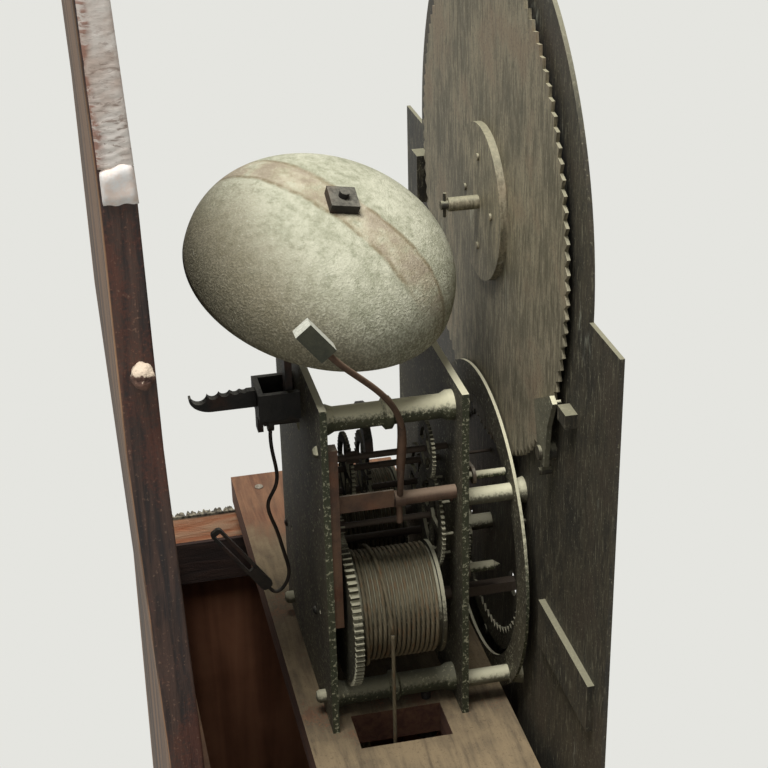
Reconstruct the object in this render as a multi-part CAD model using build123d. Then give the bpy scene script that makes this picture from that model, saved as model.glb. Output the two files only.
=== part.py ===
from build123d import *
import math
import os

os.makedirs("parts", exist_ok=True)

# Longcase clock, standing on the floor, +Z up, dial facing -Y, millimetres.
# The origin is on the floor below the middle of the case.

# Case
case_back = 110.0
trunk_half = 218.0
side_wall = 15.0
front_wall = 18.0
back_wall = 15.0
trunk_front = 80.5
trunk_top = 1495.0
plinth_top = 500.0
plinth_half = 246.0
plinth_front = 108.5
plinth_wall = 18.0
skirt_height = 96.0
skirt_wall = 16.0
skirt_square = 80.0
skirt_edge = 2.0
foot_height = 58.0
foot_reach = 105.0
foot_toe = 24.0
foot_curve = 40.0
foot_wall = 18.0
floor_board = 15.0
floor_level = 110.0
neck_half = 100.0
neck_back = 120.0
neck_foot = 1400.0
neck_low = 1600.0
neck_top = 2080.0
cheek_top = 1580.0
strip_height = 19.6
rail_height = 30.0
rail_wall = 6.0
throat_height = 52.0
throat_reach = 44.5
throat_fillet = 6.0
throat_curve_x = 14.0
throat_curve_z = 28.0
throat_edge = 12.0
waist_height = 36.0
waist_edge = 8.0
waist_top = 6.0
waist_curve_x = 11.0
waist_curve_z = 19.0

# Trunk door
door_half = 138.0
door_bottom = 590.0
door_top = 1385.0
door_crown = 46.0
door_wall = 16.0
door_gap = 2.0
door_lip = 8.0
lip_wall = 6.0
hinge_inset = 120.0
hinge_length = 64.0
leaf_wall = 1.2
leaf_width = 15.0
hinge_offset = 3.5
knuckle_radius = 3.2
pin_radius = 1.3
hinge_play = 0.1
knuckle_gap = 0.4

# Movement frame. Places are measured from the centre arbor on the front of the front plate.
arbor_height = 1690.0
plate_y = -37.5
plate_half = 65.0
plate_wall = 3.4
plate_space = 63.7
plate_top = 109.3
plate_bottom = 72.4
pillar_x = 47.0
pillar_top = 95.8
pillar_low = 61.6
pillar_radius = 6.0
collar_radius = 7.4
collar_width = 3.0
knop_radius = 8.0
knop_width = 6.0
spigot_radius = 2.2
nut_radius = 3.4
nut_depth = 5.2
nut_dome = 1.8
nut_shoulder_share = 0.75
nut_bulge_share = 0.67
play = 0.05
seat_wall = 18.0
seat_half = 211.0
seat_front = 22.4
seat_back = 83.7
slot_near = 12.3
slot_far = 59.2
slot_out = 79.9
slot_in = 53.3
line_hole = 1.5
bolt_y = 18.0
bolt_radius = 2.4
bolt_nut_radius = 5.5
bolt_nut_depth = 5.0
bolt_tail = 3.0
bolt_gap = 0.3

# Arbors
arbor_radius = 1.6
pivot_radius = 0.8
shoulder_gap = 0.4
barrel_x = 41.5
drum_radius = 25.8
line_radius = 0.95
turn_pitch = 2.4
turns = 15
turn_start = 15.6
turn_gap = 0.25
flange_radius = 28.4
flange_wall = 1.8
flange_front = 12.2
drum_back = 54.6
great_wall = 4.4
great_front = 56.0
barrel_arbor_radius = 3.4
barrel_pivot_radius = 3.2
key_radius = 6.8
square_side = 5.4
square_front = 34.0
ratchet_radius = 21.0
ratchet_teeth = 20
ratchet_depth = 2.2
click_wall = 1.2
click_half = 4.6
click_length = 9.0
fall_y = 40.0

# Wheel trains: teeth of each wheel, leaves of the pinion it drives, and the module they share
strike_great_teeth = 72
pin_leaves = 8
strike_great_module = 1.06
pin_teeth = 56
gather_leaves = 7
pin_module = 0.9
gather_teeth = 48
warning_leaves = 7
gather_module = 0.75
warning_teeth = 42
fly_leaves = 7
warning_module = 0.7
going_great_teeth = 96
centre_leaves = 8
going_great_module = 0.84
centre_teeth = 60
third_leaves = 8
centre_module = 0.75
third_teeth = 56
escape_leaves = 7
third_module = 0.7
escape_teeth = 30
escape_radius = 19.0
escape_depth = 4.2
escape_height = 42.0
motion_teeth = 36
motion_module = 0.7
hour_teeth = 72
minute_leaves = 6
wheel_wall = 1.7
pinion_wall = 6.0
short_pinion_wall = 4.0
rim_width = 3.4
pin_rim_width = 6.6
spoke_width = 3.2
hub_radius = 5.0
pin_x_offset = 10.0
gather_x_offset = 9.5
warning_x_offset = -16.0
fly_x_offset = 8.0
minute_x = -14.5
pin_wheel_y = 9.5
gather_wheel_y = 50.0
warning_wheel_y = 13.0
centre_wheel_y = 62.2
third_wheel_y = 5.0
escape_wheel_y = 37.2
strike_pin_count = 8
strike_pin_circle = 20.5
strike_pin_radius = 0.9
strike_pin_length = 5.0
fly_length = 28.0
fly_half = 9.5
fly_wall = 0.8
fly_y = 19.0
fly_tilt = 27.6
tooth_play = 0.12

# Tooth forms, as shares of the module (heights) and of the tooth pitch (widths)
wheel_tip_share = 0.9
wheel_root_share = 1.25
leaf_tip_share = 0.55
leaf_root_share = 1.4
tip_width_share = 0.13
flank_width_share = 0.5
great_root_width_share = 0.34
leaf_tip_width_share = 0.12
leaf_root_width_share = 0.25
escape_lean_share = 0.17

# Escapement, crutch and back cock
pallet_height = 73.5
pallet_wall = 4.0
pallet_y = 36.2
anchor_outline = ((0.0, 5.0), (5.0, 3.5), (17.0, -7.5), (19.0, -15.5), (14.6, -16.9),
                  (12.5, -11.5), (3.0, -5.0), (0.0, -5.0))
arbor_hole = 6.0
crutch_x = -4.0
crutch_radius = 0.95
crutch_eye = 4.2
crutch_eye_wall = 3.0
crutch_start_share = 0.25
crutch_line = ((84.4, 71.0), (84.5, 58.3), (84.3, 38.8), (88.1, 31.0), (85.7, 16.9), (81.2, -2.1),
               (80.8, -17.1), (86.2, -23.1), (91.0, -19.0))
fork_low = (90.5, -19.6)
fork_high = (116.7, 18.1)
fork_width = 6.4
fork_slot = 3.2
fork_slot_shares = (0.32, 0.94)
fork_wall = 2.4
cock_half = 16.0
cock_back = 91.0
cock_wall = 3.0
cock_top = 106.0
cock_bottom = 81.5
tongue_low = 66.0
tongue_half = 8.0
bar_half = 2.2
bar_end = 124.0
bar_top = 95.0
bar_low = 84.5
bar_nose = ((9.0, 0.0), (4.5, 1.8), (1.2, 5.5))
notch_count = 5
notch_pitch = 5.6
notch_radius = 2.4
notch_rise = 0.6
notch_start = 94.0

# Bell and hammer
bell_place = (-7.6, 56.9, 153.9)
bell_lean_x = -0.368
bell_lean_y = -0.189
bell_radius = 64.4
bell_height = 42.3
bell_wall = 2.8
bell_power = 2.35
bell_steps = 9
crown_radius = 8.0
stand_radius = 3.0
stand_collar_radius = 6.5
stand_collar_wall = 2.5
stud_radius = 2.4
stud_rise = 3.0
bell_nut_half = 6.75
bell_nut_wall = 4.5
stand_x = -5.0
stand_half = 4.0
stand_foot_wall = 3.5
stand_foot_top = 117.0
stand_bend = 1.6
hammer_x = -54.0
hammer_z = 52.5
hammer_arbor_radius = 2.3
hammer_sleeve_radius = 3.4
hammer_arm_radius = 1.5
hammer_toe = (-55.0, 31.9, 39.9)
hammer_arm = ((-54.0, 31.6, 52.5), (-59.0, 31.8, 66.0), (-60.0, 31.5, 81.7), (-61.5, 31.5, 93.5),
              (-66.8, 37.5, 110.1), (-73.5, 49.7, 125.5), (-80.4, 62.7, 139.4), (-83.2, 69.6, 147.9))
head_start = (-83.2, 68.6, 146.8)
head_way = (0.0, 0.632, 0.774)
head_length = 17.3
head_width = 8.7
head_thick = 8.0
hammer_boss_radius = 4.0
hammer_boss_half = 2.6
tail_length = 9.0
tail_wall = 1.0
tail_front = 4.4
tail_height = 4.5
spring_wall = 1.2
spring_low = 51.0
spring_high = 60.0
spring_x = -58.6
spring_front = 35.2
spring_foot_wall = 4.5
spring_foot_low = -10.0
spring_foot_high = 88.0
spring_foot_x = -64.0

# Dial and what lies behind it
dial_back = 29.5
dial_wall = 2.0
dial_half = 177.2
dial_shoulder = 174.3
arch_radius = 141.0
moon_height = 178.2
moon_radius = 123.3
moon_teeth = 118
moon_tooth = 3.2
moon_back = 25.7
moon_wall = 1.5
hub_disc_radius = 38.0
hub_disc_wall = 3.6
rivet_count = 4
rivet_circle = 22.3
rivet_radius = 1.8
rivet_rise = 1.0
pipe_radius = 3.4
pipe_end = 7.2
post_radius = 2.2
post_end = 3.6
taper_pin_radius = 0.9
taper_pin_half = 6.0
taper_pin_y = 5.6
ring_outer = 68.5
ring_inner = 60.0
ring_teeth = 62
ring_tooth = 3.4
ring_back = 28.1
ring_wall = 1.1
keeper_count = 3
keeper_turn_share = 0.17
keeper_radius = 1.5
keeper_head = 3.0
keeper_head_wall = 0.6
keeper_play = 0.2
false_outer = 86.4
false_inner = 70.5
false_back = 22.8
false_wall = 1.5
dial_foot_x = 57.0
dial_foot_top = 50.0
dial_foot_low = 57.0
dial_foot_radius = 4.2
dial_foot_flare = 6.6
dial_foot_shoulder = 5.2
dial_foot_tenon = 2.4
strap_top = 10.5
strap_bottom = 14.0
strap_inner = 94.0
strap_outer = 165.0
strap_wall = 3.2
block_x = 132.0
block_low = 134.0
block_high = 161.0
block_half = 6.5
block_depth = 7.0
aperture_radius = 112.0
hump_radius = 46.0
hump_x = 63.0
aperture_rise = 6.0
date_window_half = 5.5
date_window_low = 67.5
date_window_high = 60.5
winding_hole = 6.5
hand_hole = 5.2
second_hole = 1.6

# Moon jumper
jumper_pivot = (-102.0, 95.0)
jumper_outline = ((-107.0, 90.0), (-97.0, 90.0), (-95.0, 102.0), (-90.0, 116.0), (-112.0, 128.0),
                  (-116.5, 126.0), (-110.0, 112.0))
jumper_nose = (-114.3, 125.8)
jumper_nose_radius = 0.9
jumper_wall = 2.2
jumper_back = 23.0
jumper_post_radius = 2.4
jumper_collar_radius = 4.0
jumper_screw_radius = 3.4
jumper_screw_depth = 1.4
stop_place = (-131.0, -120.0, 121.0, 127.5)
stop_depth = 5.5
stud_place = (-98.0, 83.0)
small_stud_radius = 1.8
small_stud_depth = 6.0

# Motion work and rack striking work
cannon_pipe_radius = 2.9
centre_radius = 2.05
hour_pipe_radius = 4.2
hour_seat_radius = 3.7
cannon_y = 5.7
hour_y = 11.0
motion_wall = 1.5
snail_wall = 1.4
snail_high = 27.0
snail_low = 12.0
snail_steps = 12
snail_y = 13.0
minute_end = 12.8
rack_x = -45.0
rack_z = 1.5
rack_y = 3.4
rack_wall = 1.6
rack_radius = 52.0
rack_teeth = 14
rack_first_angle = 52.0
rack_tooth_angle = 2.6
rack_tooth_depth = 2.2
rack_arc_width = 6.0
rack_post_radius = 2.6
rack_post_end = 18.0
rack_point = 3.7
rack_boss = 5.0
rack_arm_half = 2.4
tail_place = (-22.0, -24.0)
tail_half = 1.7
tail_pin_radius = 1.0
hook_x = -50.0
hook_z = 57.5
hook_y = 5.2
hook_post_radius = 2.0
hook_post_end = 22.0
hook_boss = 4.2
hook_wall = 1.6
hook_outline = ((-54.0, 57.0), (-50.0, 53.6), (-34.0, 55.4), (-31.0, 54.0), (-29.0, 55.0),
                (-31.0, 59.0), (-50.0, 62.0))
gather_hub_radius = 3.0
hand_wall = 1.0
hour_hand_y = 36.0
minute_hand_y = 39.0
second_hand_y = 33.6
hour_hand_length = 88.0
minute_hand_length = 128.0
second_hand_length = 22.0
hand_boss = 8.0
second_boss = 2.6
hand_width_shares = ((0.0, 0.045), (0.28, 0.03), (0.42, 0.1), (0.52, 0.03), (0.66, 0.085),
                     (0.78, 0.02))
hand_turn = {"hour": 60.0, "minute": -52.0, "second": 90.0}

# Weights and pulleys
weight_radius = 37.0
weight_length = 205.0
weight_shoulder = 9.0
weight_neck = 12.0
pulley_radius = 22.0
pulley_groove = 19.6
pulley_width = 7.0
pulley_axle = 1.6
pulley_drop = 150.0
pulley_holes = 5
pulley_hole_radius = 3.8
pulley_hole_circle = 11.0
groove_gap = 0.75
stirrup_wall = 2.0
stirrup_width = 9.0
stirrup_drop = 32.0
stirrup_play = 0.3
hook_radius = 2.2
hook_length = 20.0
knot_radius = 2.4
knot_height = 2.5

# Shared shapes
cut_over = 1.0


def block(x0, x1, y0, y1, z0, z1):
    """Box between two corners."""
    return Pos((x0 + x1) / 2, (y0 + y1) / 2, (z0 + z1) / 2) * Box(x1 - x0, y1 - y0, z1 - z0)


def rod(x, z, y0, y1, radius):
    """Round bar along Y."""
    return Pos(x, (y0 + y1) / 2, z) * Rot(90, 0, 0) * Cylinder(radius, y1 - y0)


def post(x, y, z0, z1, radius):
    """Round bar along Z."""
    return Pos(x, y, (z0 + z1) / 2) * Cylinder(radius, z1 - z0)


def plate(points, y0, y1):
    """Flat plate across Y with an outline given as (x, z) points."""
    return sheet(make_face(Polyline(*points, close=True)), y0, y1)


def sheet(outline, y0, y1):
    """Flat plate across Y from a flat outline drawn with x and z."""
    return Pos(0, y1, 0) * extrude(Plane.XZ * outline, amount=y1 - y0)


def bar(start, end, half, y0, y1):
    """Flat straight bar between two (x, z) places."""
    dx, dz = end[0] - start[0], end[1] - start[1]
    length = math.hypot(dx, dz)
    ox, oz = -dz / length * half, dx / length * half
    return plate([(start[0] + ox, start[1] + oz), (end[0] + ox, end[1] + oz),
                  (end[0] - ox, end[1] - oz), (start[0] - ox, start[1] - oz)], y0, y1)


def side_plate(points, x0, x1):
    """Flat plate across X with an outline given as (y, z) points."""
    outline = make_face(Polyline(*points, close=True))
    return Pos(x0, 0, 0) * extrude(Plane.YZ * outline, amount=x1 - x0)


def polar(x, z, radius, angle):
    return (x + radius * math.cos(angle), z + radius * math.sin(angle))


def turned(points):
    """Solid of revolution about Z from (radius, height) points."""
    return revolve(Plane.XZ * make_face(Polyline(*points, close=True)), Axis.Z)


def turned_y(x, z, points):
    """Solid of revolution about a line along Y from (radius, y) points."""
    return Pos(x, 0, z) * Rot(-90, 0, 0) * turned(points)


def case(shape, name):
    shape.label = name
    export_step(shape, "parts/" + name + ".step")


def movement(shape, name):
    """Writes a piece that was drawn about the centre arbor at its place in the case."""
    case(Pos(0, plate_y, arbor_height) * shape, name)


# Wheels and pinions. Angles run from +X towards +Z, as seen from the dial.


def toothed(x, z, teeth, module, phase, shares):
    """Outline of a wheel with straight-sided teeth. The shares are the height above and below the
    pitch circle in modules, then half a tooth's width at tip and root in pitches."""
    tip_share, root_share, tip_width, root_width = shares
    pitch = 2 * math.pi / teeth
    tip = teeth * module / 2 + module * tip_share
    root = teeth * module / 2 - module * root_share
    points = []
    for k in range(teeth):
        middle = phase + k * pitch
        points.append(polar(x, z, root, middle - root_width * pitch))
        points.append(polar(x, z, tip, middle - tip_width * pitch))
        points.append(polar(x, z, tip, middle + tip_width * pitch))
        if root_width < flank_width_share:
            points.append(polar(x, z, root, middle + root_width * pitch))
    return points


wheel_shares = (wheel_tip_share, wheel_root_share, tip_width_share, flank_width_share)
great_shares = (wheel_tip_share, wheel_root_share, tip_width_share, great_root_width_share)
leaf_shares = (leaf_tip_share, leaf_root_share, leaf_tip_width_share, leaf_root_width_share)


def pinion(x, z, leaves, module, phase, middle, wall):
    points = toothed(x, z, leaves, module, phase, leaf_shares)
    return plate(points, middle - wall / 2, middle + wall / 2)


def crossed_wheel(x, z, teeth, module, y0, rim=rim_width):
    """Toothed wheel with four crossings between hub and rim."""
    y1 = y0 + wheel_wall
    inner = teeth * module / 2 - module * wheel_root_share - rim
    body = plate(toothed(x, z, teeth, module, 0, wheel_shares), y0, y1)
    return body - crossings(x, z, inner, y0, y1)


def crossings(x, z, outer, y0, y1):
    """The four openings that leave a hub, a rim and a cross of spokes."""
    opening = Circle(outer) - Circle(hub_radius)
    opening -= Rectangle(2 * outer, spoke_width)
    opening -= Rectangle(spoke_width, 2 * outer)
    return Pos(x, 0, z) * sheet(opening, y0 - cut_over, y1 + cut_over)


def meshing(x0, z0, teeth, phase, x1, z1, leaves):
    """Phase of a pinion at (x1, z1) whose leaves stand in the gaps of the wheel at (x0, z0)."""
    line = math.atan2(z1 - z0, x1 - x0)
    share = ((line - phase) / (2 * math.pi / teeth)) % 1
    return line + math.pi - 2 * math.pi / leaves * (1 / 2 - share)


def arbor(x, z, radius=arbor_radius, y1=plate_wall + plate_space):
    """Arbor from the front plate back, with a pivot at each end."""
    front, back = plate_wall + shoulder_gap, y1 - shoulder_gap
    body = rod(x, z, front, back, radius)
    body += rod(x, z, shoulder_gap, front, pivot_radius)
    return body + rod(x, z, back, y1 + plate_wall - shoulder_gap, pivot_radius)


def reach(wheel, leaves, module):
    """Distance between the centres of a wheel and the pinion that it drives."""
    return (wheel + leaves) * module / 2


def tip_reach(wheel, leaves, module):
    """Distance at which the tips of a wheel and a pinion just pass each other."""
    return (wheel / 2 + wheel_tip_share + leaves / 2 + leaf_tip_share) * module + tooth_play


def above(x, z, offset, distance):
    """Place at the given distance, offset sideways and otherwise straight above."""
    return x + offset, z + math.sqrt(distance ** 2 - offset ** 2)


# Places of the arbors. The warning pinion stands a little out of the gathering wheel and the escape
# pinion out of the third wheel, so that the two quick arbors turn on their own.
centre_reach = reach(going_great_teeth, centre_leaves, going_great_module)
barrel_z = -math.sqrt(centre_reach ** 2 - barrel_x ** 2)
pin_x, pin_z = above(-barrel_x, barrel_z, pin_x_offset,
                     reach(strike_great_teeth, pin_leaves, strike_great_module))
gather_x, gather_z = above(pin_x, pin_z, gather_x_offset, reach(pin_teeth, gather_leaves, pin_module))
warning_x, warning_z = above(gather_x, gather_z, warning_x_offset,
                             tip_reach(gather_teeth, warning_leaves, gather_module))
fly_x, fly_z = above(warning_x, warning_z, fly_x_offset, reach(warning_teeth, fly_leaves, warning_module))
third_reach = reach(centre_teeth, third_leaves, centre_module)
escape_reach = tip_reach(third_teeth, escape_leaves, third_module)
third_z = (third_reach ** 2 - escape_reach ** 2 + escape_height ** 2) / (2 * escape_height)
third_x = math.sqrt(third_reach ** 2 - third_z ** 2)
motion_reach = motion_teeth * motion_module
minute_z = math.sqrt(motion_reach ** 2 - minute_x ** 2)
hour_module = 2 * motion_reach / (hour_teeth + minute_leaves)
plate_back = plate_wall + plate_space + plate_wall
inner_back = plate_wall + plate_space
seat_top = -plate_bottom
seat_under = seat_top - seat_wall
line_path = drum_radius + turn_gap + line_radius
outer_path = line_path + turn_pitch
line_reach = pulley_groove + groove_gap + line_radius
fall_x = {"strike": -barrel_x - outer_path, "going": barrel_x - outer_path}
pulley_x = {"strike": fall_x["strike"] - line_reach, "going": fall_x["going"] + line_reach}
anchor_x = {"strike": pulley_x["strike"] - line_reach, "going": pulley_x["going"] + line_reach}


# Winding barrels


def great_wheel(x, teeth, module, name):
    back = great_front + great_wall
    body = plate(toothed(x, barrel_z, teeth, module, 0, great_shares), great_front, back)
    body -= rod(x, barrel_z, great_front - cut_over, back + cut_over, barrel_arbor_radius + play)
    click_z = barrel_z + ratchet_radius + click_half
    low = click_z - click_half / 2
    click = plate([(x - click_length, low), (x + click_length / 2, low), (x + click_length, click_z),
                   (x - click_length, low + click_half)], great_front - click_wall, great_front)
    movement(body + click, name)


def barrel(x, name):
    """Drum with its front flange and ratchet, on the winding arbor with its square."""
    body = rod(x, barrel_z, flange_front, drum_back, drum_radius)
    body += rod(x, barrel_z, flange_front, flange_front + flange_wall, flange_radius)
    turn = 2 * math.pi / ratchet_teeth
    points = []
    for k in range(ratchet_teeth):
        points.append(polar(x, barrel_z, ratchet_radius - ratchet_depth, k * turn))
        points.append(polar(x, barrel_z, ratchet_radius, k * turn))
    body += plate(points, drum_back, great_front - turn_gap)
    body += rod(x, barrel_z, plate_wall + shoulder_gap, inner_back - shoulder_gap, barrel_arbor_radius)
    body += rod(x, barrel_z, -shoulder_gap, plate_wall + shoulder_gap, barrel_pivot_radius)
    body += rod(x, barrel_z, inner_back - shoulder_gap, plate_back - shoulder_gap, arbor_radius)
    half = square_side / 2
    body += block(x - half, x + half, -square_front, -shoulder_gap, barrel_z - half, barrel_z + half)
    key_front = great_front + great_wall + play
    body += rod(x, barrel_z, key_front, key_front + flange_wall, key_radius)
    movement(body, name)


def line_place(x, turn):
    """Centre of the wound line after a number of turns: along the drum, then out over the last turns
    and back across them to where it falls."""
    climb = min(max(turn - turns, 0), 1 / 2) * 2
    across = max(turn - turns - 1 / 2, 0)
    along = turn_start + min(turn, turns + 1 / 2) * turn_pitch
    along += across * (fall_y - turn_start - (turns + 1 / 2) * turn_pitch)
    angle = math.pi + 2 * math.pi * (turn - turns - 3 / 2)
    px, pz = polar(x, barrel_z, line_path + climb * turn_pitch, angle)
    return Vector(px, along, pz)


def biarc(start, start_way, end, end_way):
    """Two arcs from start to end that meet smoothly and keep both directions."""
    chord = end - start
    a = 2 * (1 - start_way.dot(end_way))
    b = 2 * chord.dot(start_way + end_way)
    c = -chord.dot(chord)
    size = (math.sqrt(b ** 2 - 4 * a * c) - b) / (2 * a)
    joint = (start + start_way * size + end - end_way * size) * (1 / 2)
    first = TangentArc(start, joint, tangent=start_way)
    return [first, TangentArc(joint, end, tangent=first % 1)]


def winding(x, name):
    """The wound line, as one tube along half-turn biarcs."""
    nudge = 1 / 1000
    count = 2 * turns + 3
    places = [line_place(x, k / 2) for k in range(count + 1)]
    ways = []
    for k in range(count):
        step = line_place(x, k / 2 + nudge) - line_place(x, k / 2 - nudge)
        ways.append(step.normalized())
    ways.append(Vector(0, 0, -1))
    edges = []
    for k in range(count):
        edges.extend(biarc(places[k], ways[k], places[k + 1], ways[k + 1]))
    section = Plane(origin=places[0], z_dir=ways[0]) * Circle(line_radius)
    print(name, "least gap to itself", round(least_gap(edges), 3))
    movement(sweep(section, path=Wire(edges)), name)


def least_gap(edges):
    """Least distance between turns, measured on points along the arcs, less one line's width."""
    samples = 6
    points = [edge @ (k / samples) for edge in edges for k in range(samples)]
    apart = samples * 3
    least = turn_pitch * turns
    for i, first in enumerate(points):
        for second in points[i + apart:]:
            least = min(least, (first - second).length)
    return least - 2 * line_radius


def line_fall(side):
    """The straight line from the barrel down to the pulley."""
    movement(post(fall_x[side], fall_y, -pulley_drop, barrel_z, line_radius), side + "_line_fall")


def line_anchor(side):
    """The straight line from the pulley up to its knot on the seatboard."""
    x = anchor_x[side]
    body = post(x, fall_y, -pulley_drop, seat_top + knot_height, line_radius)
    body += post(x, fall_y, seat_top, seat_top + knot_height, knot_radius)
    movement(body, side + "_line_anchor")


def weight(side):
    """Cast weight with its hook, the pulley's stirrup and the line's bight under the pulley."""
    x = pulley_x[side]
    low = -pulley_drop - stirrup_drop
    inner = pulley_width / 2 + stirrup_play
    outer = inner + stirrup_wall
    half = stirrup_width / 2
    body = block(x - half, x + half, fall_y - outer, fall_y + outer, low, low + stirrup_wall)
    body += block(x - half, x + half, fall_y - outer, fall_y - inner, low, half - pulley_drop)
    body += block(x - half, x + half, fall_y + inner, fall_y + outer, low, half - pulley_drop)
    body += rod(x, -pulley_drop, fall_y - outer, fall_y + outer, pulley_axle)
    top = low - hook_length
    bottom = top - weight_length
    body += post(x, fall_y, top, low, hook_radius)
    outline = [(0, top), (weight_neck, top), (weight_radius, top - weight_shoulder),
               (weight_radius, bottom + weight_shoulder / 2), (weight_radius - weight_shoulder / 2, bottom),
               (0, bottom)]
    body += Pos(x, fall_y, 0) * turned(outline)
    start = Vector(x - line_reach, fall_y, -pulley_drop)
    bend = TangentArc(start, Vector(x + line_reach, fall_y, -pulley_drop), tangent=Vector(0, 0, -1))
    bight = sweep(Plane(origin=start, z_dir=(0, 0, -1)) * Circle(line_radius), path=bend)
    movement(Compound(children=[body, bight]), side + "_weight")


def pulley(side):
    x = pulley_x[side]
    half = pulley_width / 2
    bore = pulley_axle + play
    outline = [(bore, -half), (pulley_radius, -half), (pulley_groove, 0), (pulley_radius, half), (bore, half)]
    body = Pos(0, fall_y, 0) * turned_y(x, -pulley_drop, outline)
    for k in range(pulley_holes):
        px, pz = polar(x, -pulley_drop, pulley_hole_circle, k * 2 * math.pi / pulley_holes)
        body -= rod(px, pz, fall_y - half - cut_over, fall_y + half + cut_over, pulley_hole_radius)
    movement(body, side + "_pulley")


for sign, side, teeth, module in ((-1, "strike", strike_great_teeth, strike_great_module),
                                  (1, "going", going_great_teeth, going_great_module)):
    great_wheel(sign * barrel_x, teeth, module, side + "_great_wheel")
    barrel(sign * barrel_x, side + "_barrel")
    winding(sign * barrel_x, side + "_line_winding")
    line_fall(side)
    line_anchor(side)
    weight(side)
    pulley(side)


# Strike train


def pin_wheel():
    phase = meshing(-barrel_x, barrel_z, strike_great_teeth, 0, pin_x, pin_z, pin_leaves)
    body = pinion(pin_x, pin_z, pin_leaves, strike_great_module, phase,
                  great_front + great_wall / 2, pinion_wall)
    body += crossed_wheel(pin_x, pin_z, pin_teeth, pin_module, pin_wheel_y, pin_rim_width)
    body += arbor(pin_x, pin_z)
    for k in range(strike_pin_count):
        px, pz = polar(pin_x, pin_z, strike_pin_circle, k * 2 * math.pi / strike_pin_count)
        body += rod(px, pz, pin_wheel_y - strike_pin_length, pin_wheel_y, strike_pin_radius)
    movement(body, "pin_wheel")


def gathering_wheel():
    """Wheel above the pin wheel, with the small hub of the gathering pallet outside the front plate."""
    phase = meshing(pin_x, pin_z, pin_teeth, 0, gather_x, gather_z, gather_leaves)
    body = pinion(gather_x, gather_z, gather_leaves, pin_module, phase,
                  pin_wheel_y + wheel_wall / 2, short_pinion_wall)
    body += crossed_wheel(gather_x, gather_z, gather_teeth, gather_module, gather_wheel_y)
    body += arbor(gather_x, gather_z)
    body += rod(gather_x, gather_z, -rack_y - rack_wall, plate_wall, pivot_radius)
    body += rod(gather_x, gather_z, -rack_y - rack_wall, -rack_y, gather_hub_radius)
    movement(body, "gathering_wheel")


def warning_wheel():
    body = pinion(warning_x, warning_z, warning_leaves, gather_module, 0,
                  gather_wheel_y + wheel_wall / 2, pinion_wall)
    body += crossed_wheel(warning_x, warning_z, warning_teeth, warning_module, warning_wheel_y)
    body += arbor(warning_x, warning_z)
    movement(body, "warning_wheel")


def fly():
    phase = meshing(warning_x, warning_z, warning_teeth, 0, fly_x, fly_z, fly_leaves)
    body = pinion(fly_x, fly_z, fly_leaves, warning_module, phase,
                  warning_wheel_y + wheel_wall / 2, short_pinion_wall)
    body += arbor(fly_x, fly_z)
    end_x = fly_half * math.cos(math.radians(fly_tilt))
    end_z = fly_half * math.sin(math.radians(fly_tilt))
    body += bar((fly_x - end_x, fly_z + end_z), (fly_x + end_x, fly_z - end_z), fly_wall / 2,
                fly_y, fly_y + fly_length)
    movement(body, "fly")


pin_wheel()
gathering_wheel()
warning_wheel()
fly()


# Going train


def centre_wheel():
    """Centre arbor with its pinion and wheel, and the cannon pinion that carries the minute hand."""
    phase = meshing(barrel_x, barrel_z, going_great_teeth, 0, 0, 0, centre_leaves)
    body = pinion(0, 0, centre_leaves, going_great_module, phase, great_front + great_wall / 2, pinion_wall)
    body += crossed_wheel(0, 0, centre_teeth, centre_module, centre_wheel_y)
    body += rod(0, 0, -minute_hand_y - 2 * hand_wall, inner_back - shoulder_gap, centre_radius)
    body += rod(0, 0, inner_back - shoulder_gap, plate_back - shoulder_gap, pivot_radius)
    body += plate(toothed(0, 0, motion_teeth, motion_module, 0, great_shares),
                  -cannon_y - motion_wall, -cannon_y)
    body += rod(0, 0, -minute_hand_y, -cannon_y, cannon_pipe_radius)
    movement(body, "centre_wheel")


def third_wheel():
    phase = meshing(0, 0, centre_teeth, 0, third_x, third_z, third_leaves)
    body = pinion(third_x, third_z, third_leaves, centre_module, phase,
                  centre_wheel_y + wheel_wall / 2, pinion_wall)
    body += crossed_wheel(third_x, third_z, third_teeth, third_module, third_wheel_y)
    body += arbor(third_x, third_z)
    movement(body, "third_wheel")


def escape_wheel():
    """Escape wheel with leaning pointed teeth, on an arbor that reaches out to the seconds hand."""
    body = pinion(0, escape_height, escape_leaves, third_module, 0,
                  third_wheel_y + wheel_wall / 2 + spoke_width / 2, short_pinion_wall)
    turn = 2 * math.pi / escape_teeth
    points = []
    for k in range(escape_teeth):
        points.append(polar(0, escape_height, escape_radius - escape_depth, k * turn))
        points.append(polar(0, escape_height, escape_radius, (k + escape_lean_share) * turn))
    back = escape_wheel_y + wheel_wall
    wheel = plate(points, escape_wheel_y, back)
    inner = escape_radius - escape_depth - rim_width / 2
    body += wheel - crossings(0, escape_height, inner, escape_wheel_y, back)
    body += arbor(0, escape_height)
    body += rod(0, escape_height, -second_hand_y, plate_wall, pivot_radius)
    movement(body, "escape_wheel")


def pallets():
    """Anchor on its arbor, which passes the back plate, with the crutch and its slotted fork."""
    right = [(x, z + pallet_height) for x, z in anchor_outline]
    left = [(-x, z) for x, z in reversed(right[1:-1])]
    body = plate(right + left, pallet_y, pallet_y + pallet_wall)
    body += arbor(0, pallet_height, arbor_radius, cock_back - cock_wall)
    middle = crutch_line[0][0]
    body += rod(0, pallet_height, middle - crutch_eye_wall / 2, middle + crutch_eye_wall / 2, crutch_eye)
    points = [Vector(crutch_x, y, z) for y, z in crutch_line]
    points[0] = Vector(crutch_x * crutch_start_share, middle, pallet_height - crutch_eye / 2)
    path = Spline(*points)
    body += sweep(Plane(origin=points[0], z_dir=path % 0) * Circle(crutch_radius), path=path)
    movement(body + fork(), "pallets")


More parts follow.
